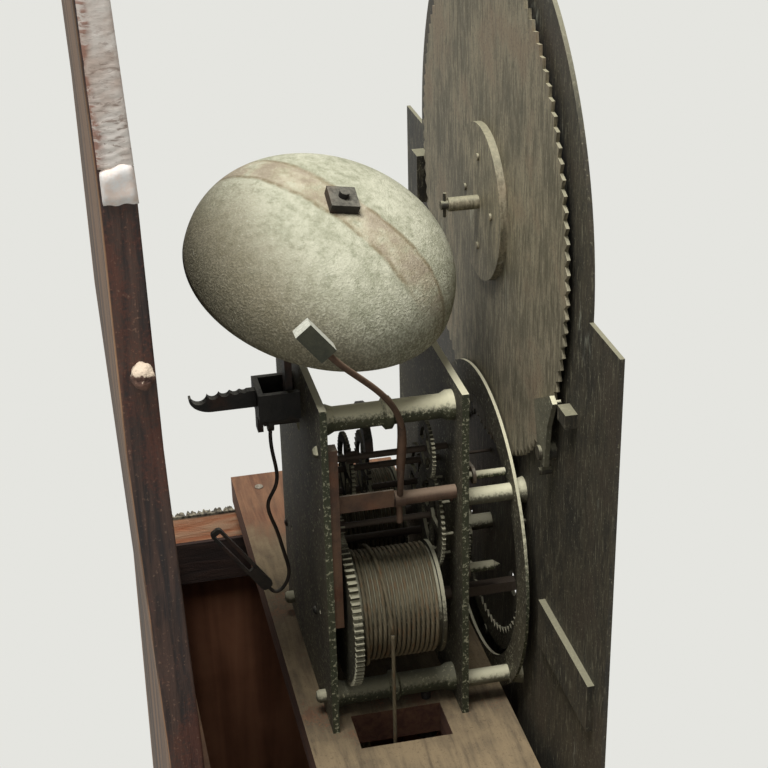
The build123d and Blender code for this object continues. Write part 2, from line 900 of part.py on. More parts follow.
def fork():
    """Slotted end of the crutch, a flat bar that rises towards the back."""
    low, high = Vector(0, *fork_low), Vector(0, *fork_high)
    length = (high - low).length
    frame = Plane(origin=low + Vector(crutch_x, 0, 0), x_dir=(high - low).normalized(), z_dir=(1, 0, 0))
    outline = Pos(length / 2, 0) * RectangleRounded(length, fork_width, fork_width / 3)
    start, end = (share * length for share in fork_slot_shares)
    outline -= Pos((start + end) / 2, 0) * Rectangle(end - start, fork_slot)
    return extrude(frame * outline, amount=fork_wall / 2, both=True)


centre_wheel()
third_wheel()
escape_wheel()
pallets()


# Motion work


def minute_wheel():
    line = math.atan2(minute_z, minute_x)
    phase = meshing(0, 0, motion_teeth, 0, minute_x, minute_z, motion_teeth)
    body = plate(toothed(minute_x, minute_z, motion_teeth, motion_module, phase, great_shares),
                 -cannon_y - motion_wall, -cannon_y)
    middle = -(cannon_y + minute_end) / 2
    body += pinion(minute_x, minute_z, minute_leaves, hour_module, line + math.pi, middle,
                   minute_end - cannon_y)
    body -= rod(minute_x, minute_z, -square_front, 0, pivot_radius + play)
    movement(body, "minute_wheel")


def hour_wheel():
    """Hour wheel with its pipe and the stepped snail."""
    phase = math.atan2(minute_z, minute_x) + math.pi / hour_teeth
    body = plate(toothed(0, 0, hour_teeth, hour_module, phase, wheel_shares), -hour_y - motion_wall, -hour_y)
    body += rod(0, 0, -hour_hand_y, -hour_y, hour_pipe_radius)
    body += rod(0, 0, -hour_hand_y - hand_wall, -hour_hand_y, hour_seat_radius)
    turn = 2 * math.pi / snail_steps
    points = []
    for k in range(snail_steps):
        radius = snail_high - (snail_high - snail_low) * k / (snail_steps - 1)
        points.append(polar(0, 0, radius, k * turn))
        points.append(polar(0, 0, radius, (k + 1 / 2) * turn))
        points.append(polar(0, 0, radius, (k + 1) * turn))
    body += plate(points, -snail_y - snail_wall, -snail_y)
    body += rod(0, 0, -snail_y, -hour_y, snail_low / 2)
    body -= rod(0, 0, -minute_hand_y, 0, cannon_pipe_radius + play)
    movement(body, "hour_wheel")


minute_wheel()
hour_wheel()


# Rack striking work


def rack():
    """Rack with its row of pointed teeth, an arm, a tail and the tail's long pin."""
    outer, inner = rack_radius, rack_radius - rack_arc_width
    points = []
    for k in range(rack_teeth + 1):
        angle = math.radians(rack_first_angle + k * rack_tooth_angle)
        points.append(polar(rack_x, rack_z, outer - rack_tooth_depth, angle))
        if k < rack_teeth:
            points.append(polar(rack_x, rack_z, outer, angle))
    for k in range(rack_teeth, -1, -2):
        angle = math.radians(rack_first_angle + k * rack_tooth_angle)
        points.append(polar(rack_x, rack_z, inner, angle))
    back, front = -rack_y, -rack_y - rack_wall
    body = plate(points, front, back)
    middle = math.radians(rack_first_angle + rack_teeth * rack_tooth_angle / 2)
    end = polar(rack_x, rack_z, inner + rack_arc_width / 4, middle)
    body += bar((rack_x, rack_z), end, rack_arm_half, front, back)
    body += bar((rack_x, rack_z), tail_place, tail_half, front, back)
    body += rod(*tail_place, -snail_y - snail_wall, front, tail_pin_radius)
    body += rod(rack_x, rack_z, front, back, rack_boss)
    body -= rod(rack_x, rack_z, front - cut_over, back + cut_over, rack_post_radius + play)
    movement(body, "rack")


def rack_hook():
    front, back = -hook_y - hook_wall, -hook_y
    body = plate(hook_outline, front, back) + rod(hook_x, hook_z, front, back, hook_boss)
    body -= rod(hook_x, hook_z, front - cut_over, back + cut_over, hook_post_radius + play)
    movement(body, "rack_hook")


rack()
rack_hook()


# Hands


def hand(name, length, x, z, y, boss, bore):
    """Pierced-style hand cut as a row of swellings that ends in a point."""
    turn = math.radians(hand_turn[name])
    side = []
    for share, width in hand_width_shares:
        side.append((share * length, width * length))
    outline = side + [(length, 0)] + [(px, -pz) for px, pz in reversed(side)]
    points = []
    for px, pz in outline:
        points.append((x + px * math.cos(turn) - pz * math.sin(turn),
                       z + px * math.sin(turn) + pz * math.cos(turn)))
    front, back = -y - hand_wall, -y
    body = plate(points, front, back) + rod(x, z, front, back, boss)
    if bore:
        body -= rod(x, z, front - cut_over, back + cut_over, bore)
    movement(body, name + "_hand")


hand("hour", hour_hand_length, 0, 0, hour_hand_y, hand_boss, hour_seat_radius + play)
hand("minute", minute_hand_length, 0, 0, minute_hand_y, hand_boss, centre_radius + play)
hand("second", second_hand_length, 0, escape_height, second_hand_y, second_boss, 0)


# Plates, pillars and what is fixed to them


def plate_blank(y0):
    return block(-plate_half, plate_half, y0, y0 + plate_wall, -plate_bottom, plate_top)


def drilled(body, y0, holes):
    for x, z, radius in holes:
        body -= rod(x, z, y0 - cut_over, y0 + plate_wall + cut_over, radius)
    return body


small = pivot_radius + play
pillar_places = [(sign * pillar_x, z) for sign in (-1, 1) for z in (pillar_top, -pillar_low)]
foot_places = [(sign * dial_foot_x, z) for sign in (-1, 1) for z in (dial_foot_top, -dial_foot_low)]
train_holes = [(pin_x, pin_z, small), (gather_x, gather_z, small), (warning_x, warning_z, small),
               (fly_x, fly_z, small), (third_x, third_z, small), (0, escape_height, small),
               (hammer_x, hammer_z, small)]
train_holes += [(x, z, spigot_radius) for x, z in pillar_places]


def front_plate():
    """Front plate with the riveted posts of the minute wheel, the rack and its hook."""
    holes = train_holes + [(0, 0, centre_radius + play), (0, pallet_height, small),
                           (-barrel_x, barrel_z, barrel_pivot_radius + play),
                           (barrel_x, barrel_z, barrel_pivot_radius + play)]
    holes += [(x, z, dial_foot_tenon) for x, z in foot_places]
    body = drilled(plate_blank(0), 0, holes)
    body += rod(minute_x, minute_z, -minute_end, 0, pivot_radius)
    body += rod(hook_x, hook_z, -hook_post_end, 0, hook_post_radius)
    outline = [(0, 0), (rack_post_radius, 0), (rack_post_radius, -rack_post_end),
               (0, -rack_post_end - rack_point)]
    body += turned_y(rack_x, rack_z, outline)
    movement(body, "front_plate")


def back_plate():
    holes = train_holes + [(0, 0, small), (0, pallet_height, arbor_hole),
                           (-barrel_x, barrel_z, arbor_radius + play),
                           (barrel_x, barrel_z, arbor_radius + play)]
    movement(drilled(plate_blank(inner_back), inner_back, holes), "back_plate")


def pillars():
    """Four turned pillars with a collar at each end and a knop in the middle, and their spigots."""
    middle = plate_wall + plate_space / 2
    half = knop_width / 2
    neck = pillar_radius
    solids = []
    for x, z in pillar_places:
        outline = [(0, 0), (spigot_radius, 0), (spigot_radius, plate_wall), (collar_radius, plate_wall),
                   (collar_radius, plate_wall + collar_width), (neck, plate_wall + 2 * collar_width),
                   (neck, middle - half), (knop_radius, middle - half / 2), (knop_radius, middle + half / 2),
                   (neck, middle + half), (neck, inner_back - 2 * collar_width),
                   (collar_radius, inner_back - collar_width), (collar_radius, inner_back),
                   (spigot_radius, inner_back), (spigot_radius, plate_back), (0, plate_back)]
        solids.append(turned_y(x, z, outline))
    movement(Compound(children=solids), "plate_pillars")


def nuts():
    """Domed nuts on all four pillars in front, and on the lower two behind; the upper are riveted."""
    solids = []
    flat = nut_depth - nut_dome
    shoulder = nut_radius * nut_shoulder_share
    behind = [(x, z, plate_back, 1) for x, z in pillar_places if z < 0]
    for x, z, face, way in [(x, z, 0, -1) for x, z in pillar_places] + behind:
        bulge = face + way * (flat + nut_dome * nut_bulge_share)
        outline = [(0, face), (nut_radius, face), (nut_radius, face + way * flat),
                   (shoulder, bulge), (0, face + way * nut_depth)]
        solids.append(turned_y(x, z, outline))
    movement(Compound(children=solids), "pillar_nuts")


def back_cock():
    """Bracket behind the back plate, a box open at the top, with a tongue for the pallet arbor."""
    body = block(-cock_half, cock_half, plate_back, cock_back, cock_bottom, cock_top)
    inner = cock_half - cock_wall
    body -= block(-inner, inner, plate_back + cock_wall, cock_back - cock_wall,
                  cock_bottom + cock_wall, cock_top + cut_over)
    body += block(-tongue_half, tongue_half, cock_back - cock_wall, cock_back, tongue_low, cock_bottom)
    body -= rod(0, pallet_height, cock_back - cock_wall - cut_over, cock_back + cut_over, small)
    movement(body + notched_bar(), "back_cock")


def notched_bar():
    """Bar behind the cock with round notches in its top edge and a rounded nose."""
    points = [(cock_back - cock_wall / 2, bar_low)]
    for back, rise in bar_nose:
        points.append((bar_end - back, bar_low + rise))
    points += [(bar_end, bar_top), (cock_back - cock_wall / 2, bar_top)]
    body = side_plate(points, -bar_half, bar_half)
    for k in range(notch_count):
        notch = Rot(0, 90, 0) * Cylinder(notch_radius, 4 * bar_half)
        body -= Pos(0, notch_start + (k + 1 / 2) * notch_pitch, bar_top + notch_rise) * notch
    return body


def hammer_spring():
    """Flat blade that stands out from a long strap inside the back plate."""
    foot_y = inner_back - spring_foot_wall
    body = block(spring_x, spring_x + spring_wall, spring_front, inner_back, spring_low, spring_high)
    body += block(spring_foot_x, spring_x + spring_wall, foot_y, inner_back,
                  spring_foot_low, spring_foot_high)
    movement(body, "hammer_spring")


def seat_bolts():
    solids = []
    top = -pillar_low - pillar_radius - bolt_gap
    for sign in (-1, 1):
        x = sign * pillar_x
        bolt = post(x, bolt_y, seat_under - bolt_nut_depth - bolt_tail, top, bolt_radius)
        bolt += post(x, bolt_y, seat_under - bolt_nut_depth, seat_under, bolt_nut_radius)
        solids.append(bolt)
    movement(Compound(children=solids), "seat_bolts")


def seatboard():
    """Board with a slot for each line, a hole for each knot and the two bolt holes."""
    low, high = seat_under - cut_over, seat_top + cut_over
    body = block(-seat_half, seat_half, -seat_front, seat_back, seat_under, seat_top)
    shift = 2 * barrel_x
    body -= block(-slot_out, -slot_in, slot_near, slot_far, low, high)
    body -= block(shift - slot_out, shift - slot_in, slot_near, slot_far, low, high)
    for side in ("strike", "going"):
        body -= post(anchor_x[side], fall_y, low, high, line_hole)
    for sign in (-1, 1):
        body -= post(sign * pillar_x, bolt_y, low, high, bolt_radius)
    movement(body, "seatboard")


front_plate()
back_plate()
pillars()
nuts()
back_cock()
hammer_spring()
seat_bolts()
seatboard()


# Bell, its stand and the hammer

bell_lean_z = math.sqrt(1 - bell_lean_x ** 2 - bell_lean_y ** 2)
bell_axis = Vector(bell_lean_x, bell_lean_y, bell_lean_z)
bell_frame = Plane(origin=bell_place, z_dir=bell_axis)


def dome(radius, height):
    """Half section of the bell from rim to crown, fuller than an ellipse."""
    points = []
    power = 2 / bell_power
    for k in range(bell_steps):
        turn = math.pi / 2 * k / bell_steps
        points.append((radius * math.cos(turn) ** power, height * math.sin(turn) ** power))
    return points + [(crown_radius, height)]


def bell():
    outer = dome(bell_radius, bell_height)
    inner = dome(bell_radius - bell_wall, bell_height - bell_wall)
    hole = stud_radius + play
    outline = outer + [(hole, bell_height), (hole, bell_height - bell_wall)] + inner[::-1]
    movement(bell_frame.location * turned(outline), "bell")


def bell_stand():
    """Flat foot in the back cock, a bent rod up into the bell, a collar under its crown and the nut."""
    foot_y = plate_back + cock_wall
    body = block(stand_x - stand_half, stand_x + stand_half, foot_y, foot_y + stand_foot_wall,
                 cock_bottom + cock_wall, stand_foot_top)
    seat = bell_height - bell_wall
    place = Vector(*bell_place)
    start = Vector(stand_x, foot_y + stand_foot_wall / 2, stand_foot_top - cut_over)
    end = place + bell_axis * (seat - stand_collar_wall / 2)
    path = Spline(start, end, tangents=[Vector(0, 0, 1), bell_axis], tangent_scalars=[stand_bend, stand_bend])
    body += sweep(Plane(origin=start, z_dir=(0, 0, 1)) * Circle(stand_radius), path=path)
    rise = bell_height + bell_nut_wall + stud_rise
    outline = [(0, seat - stand_collar_wall), (stand_collar_radius, seat - stand_collar_wall),
               (stand_collar_radius, seat),
               (stud_radius, seat), (stud_radius, rise), (0, rise)]
    body += bell_frame.location * turned(outline)
    nut = Box(2 * bell_nut_half, 2 * bell_nut_half, bell_nut_wall) - Cylinder(stud_radius, 2 * bell_nut_wall)
    nut = Pos(0, 0, bell_height + bell_nut_wall / 2) * nut
    movement(Compound(children=[body, bell_frame.location * nut]), "bell_stand")


def hammer():
    """Arbor with a sleeve and a lifting tail, the bent arm and the square head beside the bell."""
    body = arbor(hammer_x, hammer_z, hammer_arbor_radius)
    points = [Vector(*place) for place in hammer_arm]
    boss_y = points[0].Y
    body += rod(hammer_x, hammer_z, plate_wall + shoulder_gap, boss_y, hammer_sleeve_radius)
    body += rod(hammer_x, hammer_z, boss_y - hammer_boss_half, boss_y + hammer_boss_half, hammer_boss_radius)
    for path in (Line(points[0], hammer_toe), Spline(*points)):
        body += sweep(Plane(origin=points[0], z_dir=path % 0) * Circle(hammer_arm_radius), path=path)
    way = Vector(*head_way).normalized()
    frame = Plane(origin=head_start, z_dir=way, x_dir=(1, 0, 0))
    body += extrude(frame * Rectangle(head_thick, head_width), amount=head_length)
    line = math.atan2(pin_z - hammer_z, pin_x - hammer_x)
    end = polar(hammer_x, hammer_z, tail_length, line)
    body += bar((hammer_x, hammer_z), end, tail_height / 2, tail_front, tail_front + tail_wall)
    movement(body, "hammer")


bell()
bell_stand()
hammer()


# Dial, false plate, date ring and moon work


def dial_plate():
    """Arched dial with its openings, the straps, the block and the posts behind it."""
    front = -dial_back - dial_wall
    back = -dial_back
    body = plate([(-dial_half, -dial_half), (dial_half, -dial_half), (dial_half, dial_shoulder),
                  (-dial_half, dial_shoulder)], front, back)
    body += rod(0, moon_height, front, back, arch_radius)
    below = Rectangle(2 * aperture_radius, 2 * (aperture_radius + aperture_rise))
    opening = Circle(aperture_radius) - Pos(0, -aperture_radius) * below
    for sign in (-1, 1):
        opening -= Pos(sign * hump_x, aperture_rise) * Circle(hump_radius)
    body -= Pos(0, 0, moon_height) * sheet(opening, front - cut_over, back + cut_over)
    body -= block(-date_window_half, date_window_half, front - cut_over, back + cut_over,
                  -date_window_low, -date_window_high)
    for x, z, radius in ((barrel_x, barrel_z, winding_hole), (-barrel_x, barrel_z, winding_hole),
                         (0, 0, hand_hole), (0, escape_height, second_hole)):
        body -= rod(x, z, front - cut_over, back + cut_over, radius)
    body += block(block_x - block_half, block_x + block_half, back, back + block_depth,
                  block_low, block_high)
    for sign in (-1, 1):
        x0, x1 = sorted((sign * strap_inner, sign * strap_outer))
        body += block(x0, x1, back, back + strap_wall, -strap_bottom, strap_top)
    movement(body + dial_posts(back), "dial_plate")


def dial_posts(back):
    """Posts riveted into the dial: moon post, date ring keepers, jumper screw and stop."""
    body = rod(0, moon_height, back, -post_end, post_radius)
    body += post(0, -taper_pin_y, moon_height - taper_pin_half, moon_height + taper_pin_half,
                 taper_pin_radius)
    for k in range(keeper_count):
        turn = math.pi * (2 * k / keeper_count + keeper_turn_share)
        x, z = polar(0, 0, ring_outer + keeper_radius + play, turn)
        head = -ring_back + keeper_play
        body += rod(x, z, back, head + keeper_head_wall, keeper_radius)
        body += rod(x, z, head, head + keeper_head_wall, keeper_head)
    x, z = jumper_pivot
    screw = keeper_play - jumper_back
    body += rod(x, z, back, -jumper_back - jumper_wall - keeper_play, jumper_collar_radius)
    body += rod(x, z, back, screw, jumper_post_radius)
    body += rod(x, z, screw, screw + jumper_screw_depth, jumper_screw_radius)
    body += rod(*stud_place, back, back + small_stud_depth, small_stud_radius)
    x0, x1, z0, z1 = stop_place
    return body + block(x0, x1, back, back + stop_depth, z0, z1)


def dial_feet():
    """Four feet from the front plate to the dial, flared at the dial."""
    solids = []
    shoulder = -false_back - false_wall
    for x, z in foot_places:
        outline = [(0, plate_wall), (dial_foot_tenon, plate_wall), (dial_foot_tenon, 0),
                   (dial_foot_radius, 0), (dial_foot_radius, shoulder), (dial_foot_shoulder, shoulder),
                   (dial_foot_flare, -dial_back), (0, -dial_back)]
        solids.append(turned_y(x, z, outline))
    movement(Compound(children=solids), "dial_feet")


def false_plate():
    front, back = -false_back - false_wall, -false_back
    body = sheet(Circle(false_outer) - Circle(false_inner), front, back)
    for x, z in foot_places:
        body -= rod(x, z, front - cut_over, back + cut_over, dial_foot_radius + play)
    movement(body, "false_plate")


def date_ring():
    """Flat ring with inward-pointing teeth."""
    points = []
    turn = 2 * math.pi / ring_teeth
    for k in range(ring_teeth):
        points.append(polar(0, 0, ring_inner, k * turn))
        points.append(polar(0, 0, ring_inner - ring_tooth, (k + 1 / 2) * turn))
    opening = make_face(Polyline(*points, close=True))
    movement(sheet(Circle(ring_outer) - opening, -ring_back - ring_wall, -ring_back), "date_ring")


def moon_disc():
    points = []
    turn = 2 * math.pi / moon_teeth
    for k in range(moon_teeth):
        points.append(polar(0, moon_height, moon_radius - moon_tooth, k * turn))
        points.append(polar(0, moon_height, moon_radius, (k + 1 / 2) * turn))
    body = plate(points, -moon_back - moon_wall, -moon_back)
    body -= rod(0, moon_height, -dial_back, 0, pipe_radius)
    movement(body, "moon_disc")


def moon_hub():
    """Riveted disc behind the moon, with the pipe that turns on the moon post."""
    back = hub_disc_wall - moon_back
    body = rod(0, moon_height, -moon_back, back, hub_disc_radius)
    body += rod(0, moon_height, -moon_back - moon_wall, -pipe_end, pipe_radius)
    for k in range(rivet_count):
        x, z = polar(0, moon_height, rivet_circle, k * 2 * math.pi / rivet_count)
        body += rod(x, z, back, back + rivet_rise, rivet_radius)
    body -= rod(0, moon_height, -dial_back, 0, post_radius + play)
    movement(body, "moon_hub")


def moon_jumper():
    front, back = -jumper_back - jumper_wall, -jumper_back
    body = plate(jumper_outline, front, back)
    body += rod(*jumper_nose, front - jumper_wall, front, jumper_nose_radius)
    body -= rod(*jumper_pivot, front - cut_over, back + cut_over, jumper_post_radius + play)
    movement(body, "moon_jumper")


dial_plate()
dial_feet()
false_plate()
date_ring()
moon_disc()
moon_hub()
moon_jumper()


# Trunk, plinth and feet

back_y = case_back
board_y = back_y - back_wall
floor_top = floor_level + floor_board
inner_half = trunk_half - side_wall
frame_back = front_wall - trunk_front
cheek_front = plate_y - seat_front


def backboard():
    """Backboard, with the narrow upright fixed to its back that the hood slides against."""
    body = block(-inner_half, inner_half, board_y, back_y, floor_top, neck_low)
    body += block(-neck_half, neck_half, neck_back - back_wall, neck_back, neck_foot, neck_top)
    case(body, "backboard")


def trunk_side(sign, name):
    x0, x1 = sorted((sign * inner_half, sign * trunk_half))
    body = block(x0, x1, frame_back, back_y, floor_top, trunk_top)
    case(body + block(x0, x1, cheek_front, back_y, trunk_top, cheek_top), name)


def cheek_battens():
    """Packing strips between cheeks and seatboard, and a rail inside each cheek."""
    solids = []
    for sign in (-1, 1):
        x0, x1 = sorted((sign * inner_half, sign * trunk_half))
        solids.append(block(x0, x1, cheek_front, board_y, cheek_top, cheek_top + strip_height))
        x0, x1 = sorted((sign * (inner_half - rail_wall), sign * inner_half))
        solids.append(block(x0, x1, cheek_front, board_y, cheek_top - rail_height, cheek_top))
    case(Compound(children=solids), "cheek_battens")


def arched(half, low, high, crown):
    """Door outline: upright sides and a rounded top."""
    start, end = (half, high), (-half, high)
    line = Polyline(end, (-half, low), (half, low), start)
    return make_face([line, ThreePointArc(start, (0, high + crown), end)])


def front_frame():
    body = block(-trunk_half, trunk_half, -trunk_front, frame_back, plinth_top, trunk_top)
    opening = arched(door_half, door_bottom, door_top, door_crown)
    body -= sheet(opening, -trunk_front - cut_over, frame_back + cut_over)
    case(body, "trunk_front_frame")


def trunk_door():
    """Door panel in the opening, with a lip that laps over the frame."""
    gap = door_gap
    panel = arched(door_half - gap, door_bottom + gap, door_top, door_crown - gap)
    lip = arched(door_half + door_lip, door_bottom - door_lip, door_top, door_crown + door_lip)
    body = sheet(panel, -trunk_front, door_wall - trunk_front)
    case(body + sheet(lip, -trunk_front - lip_wall, -trunk_front), "trunk_door")


def hinges():
    """Two hinges: leaf, middle knuckle and pin on the frame, two knuckles and a leaf on the door."""
    x = door_half + door_lip + hinge_offset
    y = -trunk_front - hinge_offset
    third = hinge_length / 3
    front = -trunk_front - lip_wall
    on_case, on_door = [], []
    for z in (door_bottom + hinge_inset, door_top - hinge_inset):
        low, high = z - third / 2 + knuckle_gap, z + third / 2 - knuckle_gap
        leaf = block(x, x + leaf_width, -trunk_front - leaf_wall, -trunk_front, low, high)
        leaf += post(x, y, low, high, knuckle_radius)
        leaf += post(x, y, z - hinge_length / 2, z + hinge_length / 2, pin_radius)
        on_case.append(leaf)
        for z0, z1 in ((z - hinge_length / 2, low - knuckle_gap), (high + knuckle_gap, z + hinge_length / 2)):
            part = block(x - leaf_width, x, front - leaf_wall, front, z0, z1)
            part += post(x, y, z0, z1, knuckle_radius)
            on_door.append(part - post(x, y, z0 - cut_over, z1 + cut_over, pin_radius + hinge_play))
    case(Compound(children=on_case), "hinge_leaves_case")
    case(Compound(children=on_door), "hinge_leaves_door")


def moulding(lines, half, front, low, name):
    """Moulding carried round both sides and the front from a profile of outward and upward sizes."""
    path = Polyline((-half, back_y, low), (-half, -front, low), (half, -front, low), (half, back_y, low))
    frame = Plane(origin=(-half, back_y, low), x_dir=(-1, 0, 0), z_dir=(0, 1, 0))
    profile = frame * make_face(lines)
    case(sweep(profile, path=path, transition=Transition.RIGHT), name)


def throat():
    top, out = throat_height, throat_reach
    edge = top - throat_edge
    start = (throat_fillet, throat_fillet)
    lines = [Polyline((0, top), (0, 0), (throat_fillet, 0), start),
             ThreePointArc(start, (throat_curve_x, throat_curve_z), (out, edge)),
             Polyline((out, edge), (out, top), (0, top))]
    moulding(lines, trunk_half, trunk_front, trunk_top - top, "throat_moulding")


def waist():
    out = plinth_half - trunk_half
    start, end = (out, waist_edge), (waist_top, waist_height)
    lines = [Polyline((0, waist_height), (0, 0), (out, 0), start),
             ThreePointArc(start, (waist_curve_x, waist_curve_z), end),
             Polyline(end, (0, waist_height))]
    moulding(lines, trunk_half, trunk_front, plinth_top, "waist_moulding")


def skirt():
    start, end = (skirt_wall, skirt_square), (skirt_edge, skirt_height)
    middle = (skirt_wall * 3 / 4, skirt_square + (skirt_height - skirt_square) * 2 / 3)
    lines = [Polyline((0, skirt_height), (0, 0), (skirt_wall, 0), start),
             ThreePointArc(start, middle, end), Polyline(end, (0, skirt_height))]
    moulding(lines, plinth_half, plinth_front, foot_height, "base_moulding")


def plinth_box():
    """Front, two sides and the floor board."""
    inner = plinth_half - plinth_wall
    back = plinth_wall - plinth_front
    front = block(-plinth_half, plinth_half, -plinth_front, back, foot_height, plinth_top)
    left = block(-plinth_half, -inner, back, back_y, foot_height, plinth_top)
    right = block(inner, plinth_half, back, back_y, foot_height, plinth_top)
    board = block(-inner, inner, back, back_y, floor_level, floor_top)
    case(Compound(children=[front, left, right, board]), "plinth_box")


def foot_points(end, way):
    """Bracket foot outline from its corner along the case: toe, curve and long top edge."""
    return [(end, foot_height), (end, 0), (end + way * foot_toe, 0),
            (end + way * (foot_toe + foot_wall / 4), foot_wall),
            (end + way * (foot_toe + foot_wall), 2 * foot_wall),
            (end + way * (foot_reach - foot_curve / 2), foot_curve), (end + way * foot_reach, foot_height)]


def bracket_feet():
    outer = plinth_half + skirt_wall
    front = -plinth_front - skirt_wall
    solids = []
    for sign in (-1, 1):
        x0, x1 = sorted((sign * outer, sign * (outer - foot_wall)))
        foot = plate(foot_points(sign * outer, -sign), front, front + foot_wall)
        solids.append(foot + side_plate(foot_points(front, 1), x0, x1))
        solids.append(side_plate(foot_points(back_y, -1), x0, x1))
    case(Compound(children=solids), "bracket_feet")


backboard()
trunk_side(-1, "trunk_side_left")
trunk_side(1, "trunk_side_right")
cheek_battens()
front_frame()
trunk_door()
hinges()
throat()
waist()
skirt()
plinth_box()
bracket_feet()
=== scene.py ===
import bmesh
import bpy
import numpy as np
from mathutils import Matrix, Vector


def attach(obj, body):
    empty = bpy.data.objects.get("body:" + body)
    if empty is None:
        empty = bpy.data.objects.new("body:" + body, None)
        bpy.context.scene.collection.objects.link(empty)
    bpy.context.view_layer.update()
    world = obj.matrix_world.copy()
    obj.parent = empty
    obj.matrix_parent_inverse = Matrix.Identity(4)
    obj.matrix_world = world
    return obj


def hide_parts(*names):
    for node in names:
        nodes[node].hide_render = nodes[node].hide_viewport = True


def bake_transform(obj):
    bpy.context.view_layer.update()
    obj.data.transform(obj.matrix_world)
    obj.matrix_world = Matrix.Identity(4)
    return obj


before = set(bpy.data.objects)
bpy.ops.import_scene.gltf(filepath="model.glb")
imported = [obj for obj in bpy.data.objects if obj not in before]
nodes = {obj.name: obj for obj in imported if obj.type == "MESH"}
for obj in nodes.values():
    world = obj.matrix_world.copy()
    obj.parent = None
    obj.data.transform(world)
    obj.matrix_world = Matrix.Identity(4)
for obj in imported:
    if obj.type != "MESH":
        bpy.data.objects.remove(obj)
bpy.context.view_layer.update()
mm = 1 / 1000


# The room: a pale floor and an even wall of dim light round the clock, with one large soft lamp above
# it. The camera stands at the strike side, a little behind the movement, and looks down.
background = (0.783, 0.783, 0.745)
camera_place = Vector((-0.72015, 0.14364, 2.138))
camera_right = Vector((-0.2212, -0.975, -0.0219)).normalized()
camera_back = Vector((-0.8705, 0.1873, 0.4551)).normalized()
picture_side = 768
picture_focus = 1644.85
picture_middle = (384.5, 412.0)

view = bpy.data.cameras.new("view")
view.sensor_width = 36
view.lens = view.sensor_width * picture_focus / picture_side
view.shift_x = 0.5 - picture_middle[0] / picture_side
view.shift_y = picture_middle[1] / picture_side - 0.5
view.clip_end = 60
camera = bpy.data.objects.new("view", view)
turn = Matrix((camera_right, camera_back.cross(camera_right), camera_back)).transposed()
camera.matrix_world = Matrix.Translation(camera_place) @ turn.to_4x4()
bpy.context.scene.collection.objects.link(camera)
bpy.context.scene.camera = camera
bpy.context.scene.view_settings.view_transform = "Standard"


class Wire:
    """A value on its way through a material. Sums with it add the Math nodes that work them out."""

    def __init__(self, finish, socket):
        self.finish, self.socket = finish, socket

    def maths(self, operation, *values):
        return self.finish.node("ShaderNodeMath", {"operation": operation}, dict(enumerate(values)))

    def __add__(self, other):
        return self.maths("ADD", self, other)

    __radd__ = __add__

    def __sub__(self, other):
        return self.maths("SUBTRACT", self, other)

    def __rsub__(self, other):
        return self.maths("SUBTRACT", other, self)

    def __mul__(self, other):
        return self.maths("MULTIPLY", self, other)

    __rmul__ = __mul__

    def __pow__(self, other):
        return self.maths("POWER", self, other)

    def wave(self):
        return self.maths("SINE", self)

    def size(self):
        return self.maths("ABSOLUTE", self)

    def most(self, other):
        return self.maths("MAXIMUM", self, other)

    def between(self, low, high):
        """0 below low and 1 above high, smooth between; the other way round where low is above high."""
        turned = low > high
        rise = self.finish.node("ShaderNodeMapRange", {"interpolation_type": "SMOOTHSTEP"},
                                {0: self, 1: min(low, high), 2: max(low, high)})
        return 1 - rise if turned else rise


